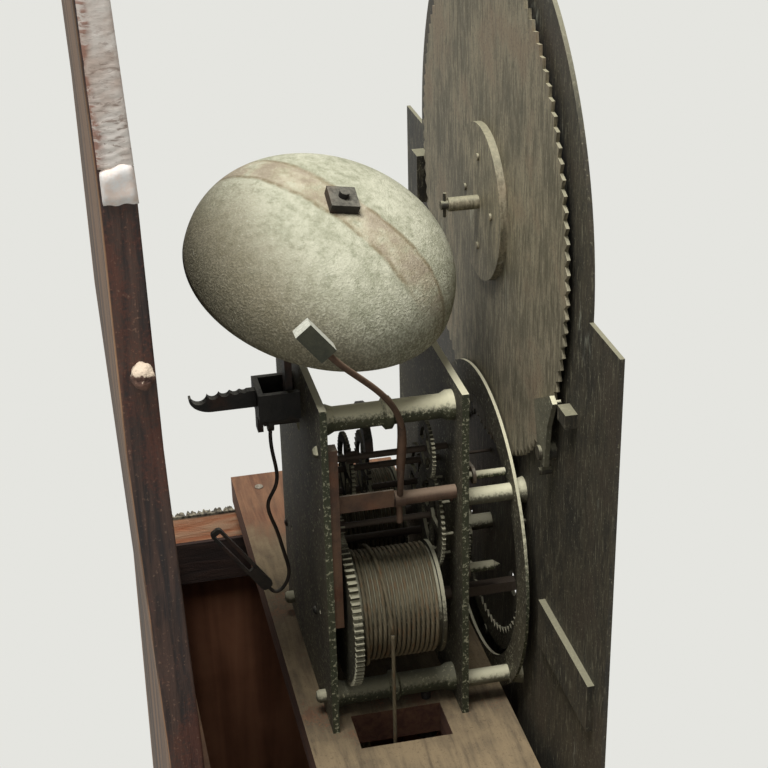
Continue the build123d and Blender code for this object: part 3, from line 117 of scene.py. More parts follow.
class Finish:
    """A material while it is made, or the sky, whose tree is given: node() adds any node, the rest are
    the few used over and over. x, y and z are the place on the object; side, towards and up say how
    far its surface faces +X, +Y and +Z."""

    def __init__(self, name, tree=None):
        self.tree = tree
        if tree is None:
            self.material = bpy.data.materials.new(name)
            self.material.use_nodes = True
            self.tree = self.material.node_tree
            self.shader = self.tree.nodes["Principled BSDF"]
            self.place = self.node("ShaderNodeTexCoord", out="Object")
            self.x, self.y, self.z = self.parts(self.place)
            self.side, self.towards, self.up = self.parts(self.node("ShaderNodeTexCoord", out="Normal"))

    def node(self, kind, settings=None, inputs=None, out=0):
        """Adds one node: its settings first, then the values or wires of its sockets. Gives the wire
        of the output called for."""
        node = self.tree.nodes.new(kind)
        for name, value in (settings or {}).items():
            setattr(node, name, value)
        for name, value in (inputs or {}).items():
            if isinstance(value, Wire):
                self.tree.links.new(value.socket, node.inputs[name])
            else:
                node.inputs[name].default_value = value
        return Wire(self, node.outputs[out])

    def parts(self, vector):
        node = self.node("ShaderNodeSeparateXYZ", None, {0: vector}).socket.node
        return [Wire(self, output) for output in node.outputs]

    def noise(self, size, detail=4, sharp=0.6, stretch=(1, 1, 1), bend=0, place=None):
        """Cloudy pattern from 0 to 1 whose spots are about size metres wide, times stretch."""
        scaled = self.node("ShaderNodeVectorMath", {"operation": "DIVIDE"},
                           {0: place or self.place, 1: stretch})
        return self.node("ShaderNodeTexNoise", None,
                         {"Vector": scaled, "Scale": 1 / size, "Detail": detail, "Roughness": sharp,
                          "Distortion": bend})

    def mix(self, share, first, second):
        """Colour that goes from first to second as share goes from 0 to 1. Each of them is a wire, or
        red, green and blue from 0 to 255."""
        first, second = [c if isinstance(c, Wire) else (*linear(*c), 1) for c in (first, second)]
        return self.node("ShaderNodeMix", {"data_type": "RGBA"}, {0: share, 6: first, 7: second}, 2)

    def moved(self, origin, axes):
        """Object coordinates about another origin and along other axes."""
        turned = Matrix(axes).transposed().to_euler()
        return self.node("ShaderNodeMapping", {"vector_type": "TEXTURE"},
                         {"Vector": self.place, "Location": origin, "Rotation": turned})

    def paint(self, colour, roughness=0.6, height=None, depth=0.0, metal=0.0):
        """Plugs colour, roughness and the surface's relief, depth metres deep, into the shader."""
        values = {"Base Color": colour, "Roughness": roughness, "Metallic": metal}
        if height is not None:
            values["Normal"] = self.node("ShaderNodeBump", None, {"Height": height, "Distance": depth})
        for name, value in values.items():
            if isinstance(value, Wire):
                self.tree.links.new(value.socket, self.shader.inputs[name])
            else:
                self.shader.inputs[name].default_value = (*value, 1) if name == "Base Color" else value
        return self.material


def linear(red, green, blue):
    """Linear colour of an sRGB one given from 0 to 255: ((c + 0.055) / 1.055) to the power 2.4."""
    share = np.array((red, green, blue)) / 255
    return tuple(np.where(share > 0.04045, ((share + 0.055) / 1.055) ** 2.4, share / 12.92).tolist())


def seen_directly(finish):
    """1 for what the camera, a mirror or a glass sees, 0 for light that falls on the object."""
    path = finish.node("ShaderNodeLightPath").socket.node
    camera_ray, mirrored, through = [Wire(finish, path.outputs[name]) for name in
                                     ("Is Camera Ray", "Is Glossy Ray", "Is Transmission Ray")]
    return camera_ray.most(mirrored).most(through)


room_light = 0.3
world = bpy.data.worlds.new("room")
world.use_nodes = True
bpy.context.scene.world = world
sky = Finish("sky", world.node_tree)
sky_colour = sky.node("ShaderNodeMix", {"data_type": "RGBA"},
                      {0: seen_directly(sky), 6: (room_light, room_light, room_light, 1),
                       7: (*background, 1)}, 2)
sky.tree.links.new(sky_colour.socket, sky.tree.nodes["Background"].inputs["Color"])

floor_half = 30
near_floor, far_floor = 0.8, 1.9
floor_mesh = bpy.data.meshes.new("floor")
floor_mesh.from_pydata([(-floor_half, -floor_half, 0), (floor_half, -floor_half, 0),
                        (floor_half, floor_half, 0), (-floor_half, floor_half, 0)], [], [(0, 1, 2, 3)])
floor = bpy.data.objects.new("floor", floor_mesh)
bpy.context.scene.collection.objects.link(floor)
pale = Finish("pale_floor")
pale.paint(background, 0.8)
away = pale.node("ShaderNodeVectorMath", {"operation": "LENGTH"}, {0: pale.place}, "Value")
glow = pale.node("ShaderNodeEmission", None, {"Color": (*background, 1)})
shown = pale.node("ShaderNodeMixShader", None,
                  {0: away.between(near_floor, far_floor) * seen_directly(pale),
                   1: Wire(pale, pale.shader.outputs[0]), 2: glow})
pale.tree.links.new(shown.socket, pale.tree.nodes["Material Output"].inputs["Surface"])
floor_mesh.materials.append(pale.material)

lamp_place, lamp_aim = Vector((-0.36, 0.45, 4.15)), Vector((0, 0, 1.7))
lamp_width, lamp_power = 1.3, 90
lamp = bpy.data.lights.new("soft_lamp", "AREA")
lamp.shape, lamp.size, lamp.energy = "DISK", lamp_width, lamp_power
lamp_object = bpy.data.objects.new("soft_lamp", lamp)
lamp_object.location = lamp_place
lamp_object.rotation_euler = (lamp_aim - lamp_place).to_track_quat("-Z", "Y").to_euler()
bpy.context.scene.collection.objects.link(lamp_object)


# The bell: a cast dish of pale bell metal, turned over on its stand. It is powdery grey green, with a
# browner side, a fine skin of speckles and one old stain that runs across it beneath the nut.
plate_y, arbor_height = -37.5, 1690.0
bell_place = np.array((-7.6, 57.6, 153.9))
bell_radius, bell_height, bell_wall, bell_power = 65.2, 42.3, 2.8, 2.35
bell_hole = 2.5
bell_axis = Vector((-0.368, -0.189, np.sqrt(1 - 0.368 ** 2 - 0.189 ** 2)))
bell_x = Vector((0, 1, 0)).cross(bell_axis).normalized()
bell_axes = (bell_x, bell_axis.cross(bell_x), bell_axis)


def at(points):
    """Places measured in millimetres from the centre arbor on the front plate, as metres above the floor."""
    return (np.asarray(points, float) + (0, plate_y, arbor_height)) * mm


def skin(name, rows, body, finish, around=True, ends=True, loop=False, smooth=True):
    """Piece over a grid of points in metres, row by row. around joins the last column to the first,
    loop the last row to the first, and ends closes the first and last rows. The enclosed volume,
    the sum of a . (b x c) over the faces, says whether the faces point out, and turns them if not."""
    rows = np.asarray(rows, float)
    index = np.arange(rows.shape[0] * rows.shape[1]).reshape(rows.shape[:2])
    if around:
        index = np.concatenate([index, index[:, :1]], axis=1)
    if loop:
        index = np.concatenate([index, index[:1]], axis=0)
    quads = np.stack([index[:-1, :-1], index[:-1, 1:], index[1:, 1:], index[1:, :-1]], -1).reshape(-1, 4)
    points = rows.reshape(-1, 3)
    corners = points[quads] - points.mean(0)
    halves = (corners[:, (0, 1, 2)], corners[:, (0, 2, 3)])
    volume = sum((np.cross(h[:, 1], h[:, 2]) * h[:, 0]).sum() for h in halves)
    faces = quads.tolist()
    if ends:
        faces += [index[0, :rows.shape[1]][::-1].tolist(), index[-1, :rows.shape[1]].tolist()]
    if volume < 0:
        faces = [face[::-1] for face in faces]
    mesh = bpy.data.meshes.new(name)
    mesh.from_pydata(points.tolist(), [], faces)
    mesh.polygons.foreach_set("use_smooth", [smooth and len(face) == 4 for face in faces])
    return added(name, mesh, body, finish)


def added(name, mesh, body, finish):
    piece = bpy.data.objects.new(name, mesh)
    bpy.context.scene.collection.objects.link(piece)
    mesh.materials.append(finish)
    if body:
        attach(piece, body)
    return piece


def turned(name, outline, origin, axes, body, finish, sides=48, **how):
    """Turned piece: every (radius, height) of the outline carried round the third of the axes, as
    origin + r cos(a) x + r sin(a) y + h z."""
    radius, height = np.asarray(outline, float).T[:, :, None]
    angle = np.arange(sides) * 2 * np.pi / sides
    x, y, z = [np.array(axis, float) for axis in axes]
    rows = (radius * np.cos(angle))[..., None] * x + (radius * np.sin(angle))[..., None] * y
    return skin(name, at(np.array(origin) + rows + height[..., None] * z), body, finish, **how)


def bell_metal():
    """Grey green, browner towards one side of the rim; the stain is a wavy band between two lines."""
    metal = Finish("powdery_bell_metal")
    inside = metal.moved(at(bell_place), bell_axes)
    x, y, z = metal.parts(inside)
    speckle, mottle = metal.noise(0.0011, 3, 0.65), metal.noise(0.0045, 5, 0.7)
    cloud = metal.noise(0.03, 5)
    base = metal.mix((cloud * 0.5 + mottle * 0.5).between(0.38, 0.62), (156, 156, 132), (194, 193, 170))
    base = metal.mix(mottle.between(0.46, 0.34) * 0.3, base, (122, 126, 102))
    brown = (y * 9 - x * 4 + cloud * 0.5 - z * 9).between(0.12, 0.62)
    base = metal.mix(brown * 0.7, base, (124, 112, 86))
    across = y * 0.735 - x * 0.68 + (metal.noise(0.022, 3, 0.5) - 0.5) * 0.006
    inner = across.size().between(0.0105, 0.0085)
    line = (across.size() - 0.0092).size().between(0.0024, 0.0002)
    line = line * metal.noise(0.014, sharp=0.55).between(0.3, 0.45)
    streak = metal.noise(0.006, stretch=(3, 3, 1), place=inside)
    end = x.between(-0.052, -0.036)
    warm = metal.mix(streak.between(0.4, 0.6), (172, 150, 118), (146, 124, 104))
    base = metal.mix(inner * end * streak.between(0.3, 0.6) * 0.6, base, warm)
    base = metal.mix(line * end * mottle.between(0.35, 0.55) * 0.75, base, (112, 98, 66))
    fine = speckle.between(0.6, 0.44)
    base = metal.mix(fine * z.between(0.05, 0.0) * 0.7, base, (96, 92, 74))
    base = metal.mix(speckle.between(0.62, 0.78) * 0.5, base, (214, 214, 200))
    return metal.paint(base, 0.86, speckle * 1.2 + mottle * 0.5, 0.0005)


def dish(radius, height, steps=40):
    """Half section from rim to crown: r = R cos(t) ** (2 / p), h = H sin(t) ** (2 / p)."""
    t = np.linspace(0, np.pi / 2, steps)[:-1]
    reach = radius * np.cos(t) ** (2 / bell_power)
    rise = height * np.sin(t) ** (2 / bell_power)
    keep = reach > bell_hole
    return np.stack([reach[keep], rise[keep]], 1)


outer = dish(bell_radius, bell_height)
inner = dish(bell_radius - bell_wall, bell_height - bell_wall)[::-1]
crown = [(bell_hole, bell_height), (bell_hole, bell_height - bell_wall)]
lip = [(bell_radius - 2 * bell_wall / 3, -0.25), (bell_radius - bell_wall / 3, -0.25)]
bell = turned("bell_dish", np.concatenate([outer, crown, inner, lip]), bell_place, bell_axes, "case",
              bell_metal(), sides=128, loop=True, ends=False)
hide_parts("bell")


# Iron fittings: the bell's stand with its square nut, the back cock, the hammer and its spring, the
# crutch and the bolts are forged and filed iron, brown black, rusty in places and dusty on top.
def old_iron(name, deep, worn, dust, rust=0.25):
    """Dark iron, cloudy between two browns, with rust patches and grey dust on what faces up."""
    iron = Finish(name)
    cloud, grit = iron.noise(0.012, 5), iron.noise(0.0016)
    base = iron.mix(cloud.between(0.3, 0.7), deep, worn)
    base = iron.mix(iron.noise(0.02).between(0.5, 0.72) * rust, base, (112, 66, 40))
    settled = iron.up.between(0.35, 0.95) * (grit * 0.6 + cloud * 0.6).between(0.35, 0.75)
    base = iron.mix(settled * dust, base, (168, 163, 145))
    return iron.paint(base, 0.7 - cloud * 0.15, grit + cloud * 0.5, 0.00025, 0.15)


dark_iron = old_iron("brown_black_iron", (17, 15, 12), (36, 32, 27), 0.35)
rod_iron = old_iron("rod_iron", (30, 26, 22), (62, 52, 42), 0.3)
rust_iron = old_iron("rusty_iron", (62, 44, 32), (96, 70, 50), 0.45, 0.45)
filed_iron = old_iron("filed_iron", (84, 72, 61), (118, 104, 88), 0.5, 0.15)


def finished(finish, *names):
    """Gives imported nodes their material."""
    for name in names:
        data = nodes[name].data
        data.materials.clear()
        data.materials.append(finish)


head_start, head_way = (-83.2, 68.6, 146.8), (0.0, 0.632, 0.774)


def hammer_iron():
    """Rust brown arm, pinkish sleeve, and beyond the plane where the head starts a grey green head,
    powdery on the faces that look up."""
    iron = Finish("hammer_iron")
    cloud, grit = iron.noise(0.009, 5), iron.noise(0.0013)
    start = at(head_start)
    along = (iron.y - start[1]) * head_way[1] + (iron.z - start[2]) * head_way[2]
    arm = iron.mix(cloud.between(0.3, 0.7), (72, 54, 41), (104, 80, 62))
    arm = iron.mix(iron.up.between(0.2, 0.9) * 0.5, arm, (168, 146, 122))
    head = iron.mix(cloud.between(0.3, 0.7), (44, 46, 35), (68, 68, 53))
    powder = iron.mix(grit.between(0.3, 0.7), (172, 172, 158), (204, 204, 190))
    head = iron.mix(iron.up.between(0.35, 0.6), head, powder)
    base = iron.mix(along.between(-0.0002, 0.0002), arm, head)
    return iron.paint(base, 0.78, grit + cloud * 0.5, 0.0002, 0.1)


def blocks(name, outlines, finish, front, rise, body="case"):
    """Flat shapes of four corners each, given as (x, z) in millimetres, that stand out from the plane
    y = front by rise, towards the dial's front. Either may be a number or one per shape."""
    corners = np.asarray(outlines, float)
    count = len(corners)
    front, rise = [np.broadcast_to(value, count)[:, None] for value in (front, rise)]
    far = np.stack([corners[..., 0], np.broadcast_to(front, (count, 4)), corners[..., 1]], -1)
    near = far - np.stack([0 * rise, rise, 0 * rise], -1)
    first = np.arange(count)[:, None, None] * 8
    faces = np.array([(0, 1, 2, 3), (7, 6, 5, 4), (0, 4, 5, 1), (1, 5, 6, 2), (2, 6, 7, 3), (3, 7, 4, 0)])
    mesh = bpy.data.meshes.new(name)
    mesh.from_pydata(at(np.concatenate([far, near], 1).reshape(-1, 3)).tolist(), [],
                     (first + faces).reshape(-1, 4).tolist())
    shape = bmesh.new()
    shape.from_mesh(mesh)
    bmesh.ops.recalc_face_normals(shape, faces=shape.faces)
    shape.to_mesh(mesh)
    shape.free()
    piece = added(name, mesh, body, finish)
    return piece


def rectangle(x0, x1, z0, z1):
    return (x0, z0), (x1, z0), (x1, z1), (x0, z1)


# The cock is a low box, open at the top, with a tab under its back wall for the pallets' pivot.
cock_half, cock_wall, cock_low, cock_floor, cock_high = 12.0, 2.8, 80.2, 84.5, 94.4
cock_front, cock_back = 70.5, 91.0
tab_half, tab_low = 3.5, 70.5
inside = cock_half - cock_wall
walls = [rectangle(-cock_half, -inside, cock_low, cock_high),
         rectangle(inside, cock_half, cock_low, cock_high),
         rectangle(-inside, inside, cock_low, cock_floor),
         rectangle(-inside, inside, cock_floor, cock_high),
         rectangle(-tab_half, tab_half, tab_low, cock_low)]
depth = cock_back - cock_front
cock = blocks("low_back_cock", walls, dark_iron, cock_back,
              (depth, depth, depth, cock_wall, cock_wall))
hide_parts("back_cock")

bar_half, bar_root, bar_low, bar_high, bar_slope = 2.2, 90.0, 84.2, 94.6, 0.045
bar_end, tip_start, tip_high = 123.6, 122.4, 92.4
nose_start, nose_length, nose_rise = 112.5, 11.2, 8.0
notches = ((96.5, 94.6, 2.2), (100.8, 94.6, 2.6), (106.0, 94.4, 2.9), (111.6, 94.0, 3.2), (118.6, 93.0, 4.2))


def notched_bar():
    """Bar behind the cock. Its top edge drops by sqrt(r^2 - (y - y0)^2) in each notch and slopes down a
    little; its lower edge rises as a quarter of an ellipse to the nose."""
    y = np.linspace(bar_root, bar_end, 180)
    top = bar_high - (y - bar_root) * bar_slope
    for middle, height, reach in notches:
        top = np.minimum(top, height - np.sqrt(np.clip(reach ** 2 - (y - middle) ** 2, 0, None)))
    top[y > tip_start] = tip_high
    low = bar_low + nose_rise * (1 - np.sqrt(1 - np.clip((y - nose_start) / nose_length, 0, 1) ** 2))
    outline = np.concatenate([np.stack([y, low], 1), np.stack([y, np.maximum(top, low + 0.3)], 1)[::-1]])
    rows = [np.insert(outline, 0, x, axis=1) for x in (-bar_half, bar_half)]
    return skin("back_cock_bar", at(rows), "case", dark_iron, smooth=False)


notched_bar()
hammer_finish = hammer_iron()
finished(dark_iron, "bell_stand", "seat_bolts")
finished(rod_iron, "pallets")
finished(rust_iron, "hammer_spring")
finished(hammer_finish, "hammer")

strap_line = ((-58.6, 31.7, 62.0), (-59.0, 31.8, 66.0), (-60.0, 31.5, 81.7), (-61.5, 31.5, 93.5),
              (-63.6, 33.6, 102.5))
strap_half, strap_thick, strap_steps, strap_sides = 2.3, 1.9, 40, 20


def arm_strap():
    """Lower arm beaten flat: x and y are cubics of z through the strap's places, and its oval section
    narrows to the round rod at both ends as sin(pi t) ** 0.3."""
    line = np.array(strap_line)
    z = np.linspace(line[0, 2], line[-1, 2], strap_steps)
    x, y = [np.polyval(np.polyfit(line[:, 2], line[:, k], 3), z) for k in (0, 1)]
    t = np.linspace(0.004, 0.996, strap_steps)
    swell = np.sin(np.pi * t)[:, None] ** 0.3
    angle = np.arange(strap_sides) * 2 * np.pi / strap_sides
    rows = np.empty((strap_steps, strap_sides, 3))
    rows[..., 0] = x[:, None] + strap_thick * swell * np.cos(angle)
    rows[..., 1] = y[:, None] + strap_half * swell * np.sin(angle)
    rows[..., 2] = z[:, None]
    return skin("hammer_arm_strap", at(rows), "hammer", rust_iron)


arm_strap()


# The movement's plates are cast and hammered brass gone olive black, flecked with pale spots of old
# lacquer and dust, most of all along their edges. Pillars, feet and nuts are the same brass, dustier;
# on the upper pillars' tops the pale dust is partly painted light, and what lies low is painted shade.
def old_brass(name, deep, worn, fleck, dust, streak=1.0, edge=0.0, axis=None, foot=None):
    """Dark brass, cloudy along z by streak, flecked, and more so by edge on its side edges, with dust
    where it faces up. With an axis (x, z, radius) all within that radius of it is the iron arbor;
    with a foot, what lies below that height in metres holds a third of the dust: painted shade."""
    brass = Finish(name)
    cloud = brass.noise(0.02, 6, 0.62, stretch=(1, 1, streak))
    grit = brass.noise(0.0016, 4, 0.65)
    rim = brass.side.size().between(0.6, 0.9) * edge
    base = brass.mix(cloud.between(0.3, 0.68), deep, worn)
    base = brass.mix(rim * 0.6, base, (52, 60, 40))
    spots = grit.between(0.57, 0.64) * brass.noise(0.009, 3, 0.5).between(0.42, 0.66)
    base = brass.mix(spots.most(grit.between(0.56, 0.62) * rim) * fleck, base, (196, 194, 160))
    settled = (brass.up + (grit - 0.5) * 1.3).between(0.0, 0.6)
    if foot:
        settled = settled * (1 - brass.z.between(foot + 0.01, foot - 0.01) * 0.7)
    base = brass.mix(settled * dust, base, (218, 213, 182))
    if axis:
        middle = at((axis[0], 0, axis[1]))
        reach = ((brass.x - middle[0]) ** 2 + (brass.z - middle[2]) ** 2) ** 0.5
        base = brass.mix(reach.between((axis[2] + 0.3) * mm, axis[2] * mm), base, (66, 55, 44))
    return brass.paint(base, 0.62 + grit * 0.2, grit + cloud * 0.6, 0.0003, 0.25)


plate_brass = old_brass("plate_brass", (50, 46, 35), (76, 70, 52), 0.45, 0.7, 2.5, 1.0)
# Full dust share and heavy flecks: real dust, and partly painted light on the upper pillars' tops, which the
# bell keeps from the lamp; below 1.69 m a third of the dust, as painted shade.
pillar_brass = old_brass("pillar_brass", (46, 48, 34), (80, 80, 58), 0.85, 1.0, foot=1.69)
# Below 1.63 m the feet and nuts keep a third of their dust: painted shade.
post_brass = old_brass("foot_brass", (84, 82, 66), (112, 108, 88), 0.3, 0.75, foot=1.63)
finished(plate_brass, "front_plate", "back_plate", "false_plate")
finished(pillar_brass, "plate_pillars")
finished(post_brass, "pillar_nuts", "dial_feet")
arbors = {"strike_great_wheel": (-41.5, -13.6, 6), "going_great_wheel": (41.5, -13.6, 6),
          "strike_barrel": (-41.5, -13.6, 4), "going_barrel": (41.5, -13.6, 4),
          "pin_wheel": (-31.5, 27.6, 4.2), "gathering_wheel": (-22, 54.3, 4.2),
          "warning_wheel": (-38, 69.1, 4.2), "centre_wheel": (0, 0, 4.2), "third_wheel": (12.3, 22.3, 4.2),
          "escape_wheel": (0, 42, 4.2), "minute_wheel": (-14.5, 20.6, 2), "hour_wheel": (0, 0, 1),
          "date_ring": (0, 0, 1)}
for node, axis in arbors.items():
    finished(old_brass(node + "_brass", (40, 37, 27), (66, 61, 44), 0.3, 0.45, axis=axis), node)
finished(dark_iron, "fly")
finished(filed_iron, "rack", "rack_hook")

# Rivet heads and a pale stud on the back plate's outer face.
for name, place, sides, radius, height, finish in (
        ("plate_rivet_right", (57.7, 70.4, -19.5), 16, 2.3, 1.7, dark_iron),
        ("plate_rivet_left", (-28.6, 70.4, -21.5), 16, 2.3, 1.7, dark_iron),
        ("plate_stud", (-54.3, 70.4, 83.3), 4, 3.3, 2.6, post_brass)):
    outline = [(radius, 0), (radius * 0.92, height * 0.45), (radius * 0.55, height * 0.85), (0.05, height)]
    head = turned(name, outline, place, ((0, 0, 1), (1, 0, 0), (0, 1, 0)), "case", finish, sides=sides,
                  smooth=sides > 4)


# The lines: laid cord wound on each barrel, falling to its pulley and up again to a knot on the
# seatboard. Old and khaki brown, browner between the turns, with the strands' slant still to be seen;
# its colours are darkened to about half as painted shade of the bell over the winding.
barrel_x, barrel_z = 41.5, -13.627
line_radius, turn_pitch, turns, turn_start, fall_y = 0.95, 2.4, 15, 15.6, 40.0
line_path = 25.8 + 0.25 + line_radius
pulley_z, line_reach = -150.0, 21.3
seat_top = -72.4
knot_height, knot_ring, knot_wave, knot_line = 2.5, 1.5, 0.7, 0.8
strand_pitch = 5.5


def laid_line():
    """Slant of the strands: a wave of three times the way round less the way along, darker in the
    grooves between strands as painted shade.
    """
    cord = Finish("old_line")
    along, round_it, _ = cord.parts(cord.node("ShaderNodeUVMap", {"uv_map": "line"}))
    strand = ((round_it * 3 - along * (1 / strand_pitch)) * (2 * np.pi)).wave()
    fibre = cord.noise(0.0009, 3)
    worn = cord.noise(0.016)
    # Both browns are darkened to about half: painted shade of the bell over the winding, which the falling
    # lines share.
    base = cord.mix(worn.between(0.35, 0.68), (88, 79, 58), (110, 100, 77))
    browned = cord.noise(0.009, 3, stretch=(1, 0.35, 1)).between(0.52, 0.68)
    base = cord.mix(browned * 0.6, base, (104, 74, 42))
    # Darker in the grooves between the strands: painted shade.
    base = cord.mix(strand.between(-0.2, -0.95) * 0.3, base, (70, 61, 44))
    return cord.paint(base, 0.85, strand * 0.4 + fibre * 0.8, 0.0002)


line_finish = laid_line()


def line_piece(name, path, body, radius=line_radius, sides=10):
    """Round line along a path: p + r cos(a) n + r sin(a) b, with n across the path and Y, and b square
    to both. Its map holds the way along in millimetres and the share of the way round."""
    path = np.asarray(path, float)
    way = np.gradient(path, axis=0)
    way /= np.linalg.norm(way, axis=1)[:, None]
    across = np.cross(way, (0, 1, 0))
    across /= np.linalg.norm(across, axis=1)[:, None]
    over = np.cross(across, way)
    angle = np.arange(sides + 1) * 2 * np.pi / sides
    c, s = np.cos(angle)[:, None], np.sin(angle)[:, None]
    rows = path[:, None] + radius * (c * across[:, None] + s * over[:, None])
    length = np.concatenate([[0], np.cumsum(np.linalg.norm(np.diff(path, axis=0), axis=1))])
    piece = skin(name, at(rows), body, line_finish, around=False, ends=False)
    mesh = piece.data
    corner = np.empty(len(mesh.loops), int)
    mesh.loops.foreach_get("vertex_index", corner)
    row, column = np.divmod(corner, sides + 1)
    mesh.uv_layers.new(name="line").data.foreach_set(
        "uv", np.stack([length[row], column / sides], 1).ravel())
    shape = bmesh.new()
    shape.from_mesh(mesh)
    bmesh.ops.remove_doubles(shape, verts=shape.verts, dist=radius * mm / 1000)
    bmesh.ops.holes_fill(shape, edges=shape.edges)
    shape.to_mesh(mesh)
    shape.free()
    return piece


def wound_path(x):
    """Middle of the wound line at each share of a turn: round the drum at r, forward by the pitch, then
    one pitch further out for the last turns, which cross back to where the line falls."""
    turn = np.linspace(0, turns + 3 / 2, (turns + 2) * 40)
    climb = np.clip(2 * (turn - turns), 0, 1)
    across = np.clip(turn - turns - 1 / 2, 0, None)
    along = turn_start + np.minimum(turn, turns + 1 / 2) * turn_pitch
    along = along + across * (fall_y - turn_start - (turns + 1 / 2) * turn_pitch)
    angle = np.pi + 2 * np.pi * (turn - turns - 3 / 2)
    reach = line_path + climb * turn_pitch
    return np.stack([x + reach * np.cos(angle), along, barrel_z + reach * np.sin(angle)], 1)


for side, sign in (("strike", -1), ("going", 1)):
    x = sign * barrel_x
    fall_x = x - line_path - turn_pitch
    pulley_x = fall_x + sign * line_reach
    anchor_x = pulley_x + sign * line_reach
    wound = line_piece(side + "_wound_line", wound_path(x), side + "_barrel")
    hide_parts(side + "_line_winding")
    for kind, node, line_x, start, end, steps, held in (
            ("falling", "fall", fall_x, barrel_z, pulley_z, 60, barrel_z),
            ("anchored", "anchor", anchor_x, pulley_z, seat_top, 40, seat_top + knot_height)):
        path = np.linspace(start, end, steps)[:, None] * (0, 0, 1) + (line_x, fall_y, 0)
        straight = line_piece(f"{side}_{kind}_line", path, None)
        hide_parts(f"{side}_line_{node}")
        at((line_x, fall_y, held))
        at((line_x, fall_y, pulley_z))
        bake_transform(straight)
    turn = np.linspace(0, 2 * np.pi, 60)
    reach = knot_ring + knot_wave * np.cos(3 * turn)
    knot = np.stack([anchor_x + reach * np.cos(2 * turn), fall_y + reach * np.sin(2 * turn),
                     seat_top + knot_height / 2 + 0.5 + knot_wave * np.sin(3 * turn)], 1)
    line_piece(side + "_knot", knot, "case", knot_line)


# The weights: plain cast iron cylinders on hooks, each hung from a brass pulley in an iron stirrup.
cast_iron = old_iron("cast_iron", (40, 38, 36), (64, 60, 55), 0.3, 0.35)
pulley_brass = old_brass("pulley_brass", (92, 84, 52), (128, 116, 76), 0.2, 0.4)
finished(cast_iron, "strike_weight", "going_weight")
finished(pulley_brass, "strike_pulley", "going_pulley")


# The dial: an arched metal plate, its bare back scraped by hand and gone brown grey in upright streaks.
# The moon disc behind it is the same, with a riveted hub; both fronts are painted.
def scraped_back(name, deep, worn, edge, painted):
    """Upright streaks on the back; on the front, what painted gives for the material."""
    metal = Finish(name)
    front = metal.towards.between(-0.4, -0.6)
    streak = metal.noise(0.006, 5, 0.65, stretch=(1, 1, 4))
    fine = metal.noise(0.0016, 4, 0.65, stretch=(1, 1, 7))
    cloud, grit = metal.noise(0.04, 5), metal.noise(0.0012, 3, 0.65)
    base = metal.mix((fine * 0.4 + cloud * 0.35 + streak * 0.25).between(0.42, 0.58), deep, worn)
    base = metal.mix(fine.between(0.56, 0.72) * 0.42, base, (158, 154, 130))
    base = metal.mix(cloud.between(0.52, 0.68) * 0.45, base, edge)
    base = metal.mix(grit.between(0.44, 0.36) * 0.6, base, deep)
    base = metal.mix(grit.between(0.6, 0.7) * 0.4, base, (172, 168, 140))
    patch = metal.noise(0.03, 5, 0.7, stretch=(1, 1, 2.5), bend=0.6)
    base = metal.mix(patch.between(0.62, 0.72) * fine.between(0.4, 0.6) * 0.7, base, (176, 178, 160))
    base = metal.mix(metal.up.between(0.4, 0.9) * 0.6, base, (150, 146, 120))
    base = metal.mix(front, base, painted(metal))
    return metal.paint(base, 0.66 - front * 0.28, streak + fine * 0.4 + grit * 0.2, 0.0003, 0.12)


def cream_ground(paint):
    """Cream oil paint, yellower in clouds, with a net of fine cracks."""
    cracks = paint.node("ShaderNodeTexVoronoi", {"feature": "DISTANCE_TO_EDGE"},
                        {"Vector": paint.place, "Scale": 160})
    cloud = paint.noise(0.09, 4, 0.5)
    base = paint.mix(cloud.between(0.35, 0.7), (226, 218, 194), (208, 194, 160))
    return paint.mix(cracks.between(0.02, 0.0) * 0.4, base, (132, 116, 86))


moon_height = 178.2
moon_offset, moon_size = 0.066, 0.039


def night_sky(paint):
    """Deep blue with small stars and two plain golden moons on opposite sides."""
    stars = paint.node("ShaderNodeTexVoronoi", None, {"Vector": paint.place, "Scale": 70})
    base = paint.mix(paint.noise(0.03, 4, 0.5).between(0.3, 0.7), (32, 46, 78), (46, 64, 98))
    base = paint.mix(stars.between(0.12, 0.08), base, (226, 206, 140))
    away = paint.z - (arbor_height + moon_height) * mm
    gold = paint.mix(paint.noise(0.02, 3, 0.5).between(0.3, 0.7), (214, 180, 96), (232, 204, 128))
    for sign in (-1, 1):
        reach = ((paint.x - sign * moon_offset) ** 2 + away ** 2) ** 0.5
        base = paint.mix(reach.between(moon_size + 0.0005, moon_size - 0.0005), base, gold)
    return base


dial_finish = scraped_back("scraped_dial_metal", (36, 33, 25), (68, 62, 47), (50, 38, 30), cream_ground)
moon_finish = scraped_back("scraped_moon_metal", (92, 86, 68), (146, 136, 112), (122, 98, 76), night_sky)
finished(dial_finish, "dial_plate")
finished(moon_finish, "moon_disc", "moon_hub")
finished(post_brass, "moon_jumper")


# The painted dial's front: chapter ring with Roman hours and minute dots, seconds circle, and gilt
# scrolls in the corners, all in thin raised paint.
dial_front = -31.5
paint_rise = 0.16


def even_paint(name, shade, worn, roughness):
    paint = Finish(name)
    base = paint.mix(paint.noise(0.004).between(0.4, 0.75), shade, worn)
    return paint.paint(base, roughness, paint.noise(0.001, 3), 0.00005)


black_paint = even_paint("black_dial_paint", (28, 25, 22), (52, 46, 40), 0.5)
gilt_paint = even_paint("gilt_dial_paint", (176, 138, 66), (134, 102, 48), 0.42)


def stroke(x0, z0, x1, z1, width):
    """Straight stroke as four corners, half its width to each side."""
    way = np.array((x1 - x0, z1 - z0), float)
    side = np.array((-way[1], way[0])) / np.hypot(*way) * width / 2
    start, end = np.array((x0, z0)), np.array((x1, z1))
    return np.stack([start + side, end + side, end - side, start - side])


def turned_about(shape, angle):
    """Flat points turned clockwise about the centre by an angle."""
    c, s = np.cos(angle), np.sin(angle)
    return shape @ np.array(((c, -s), (s, c)))


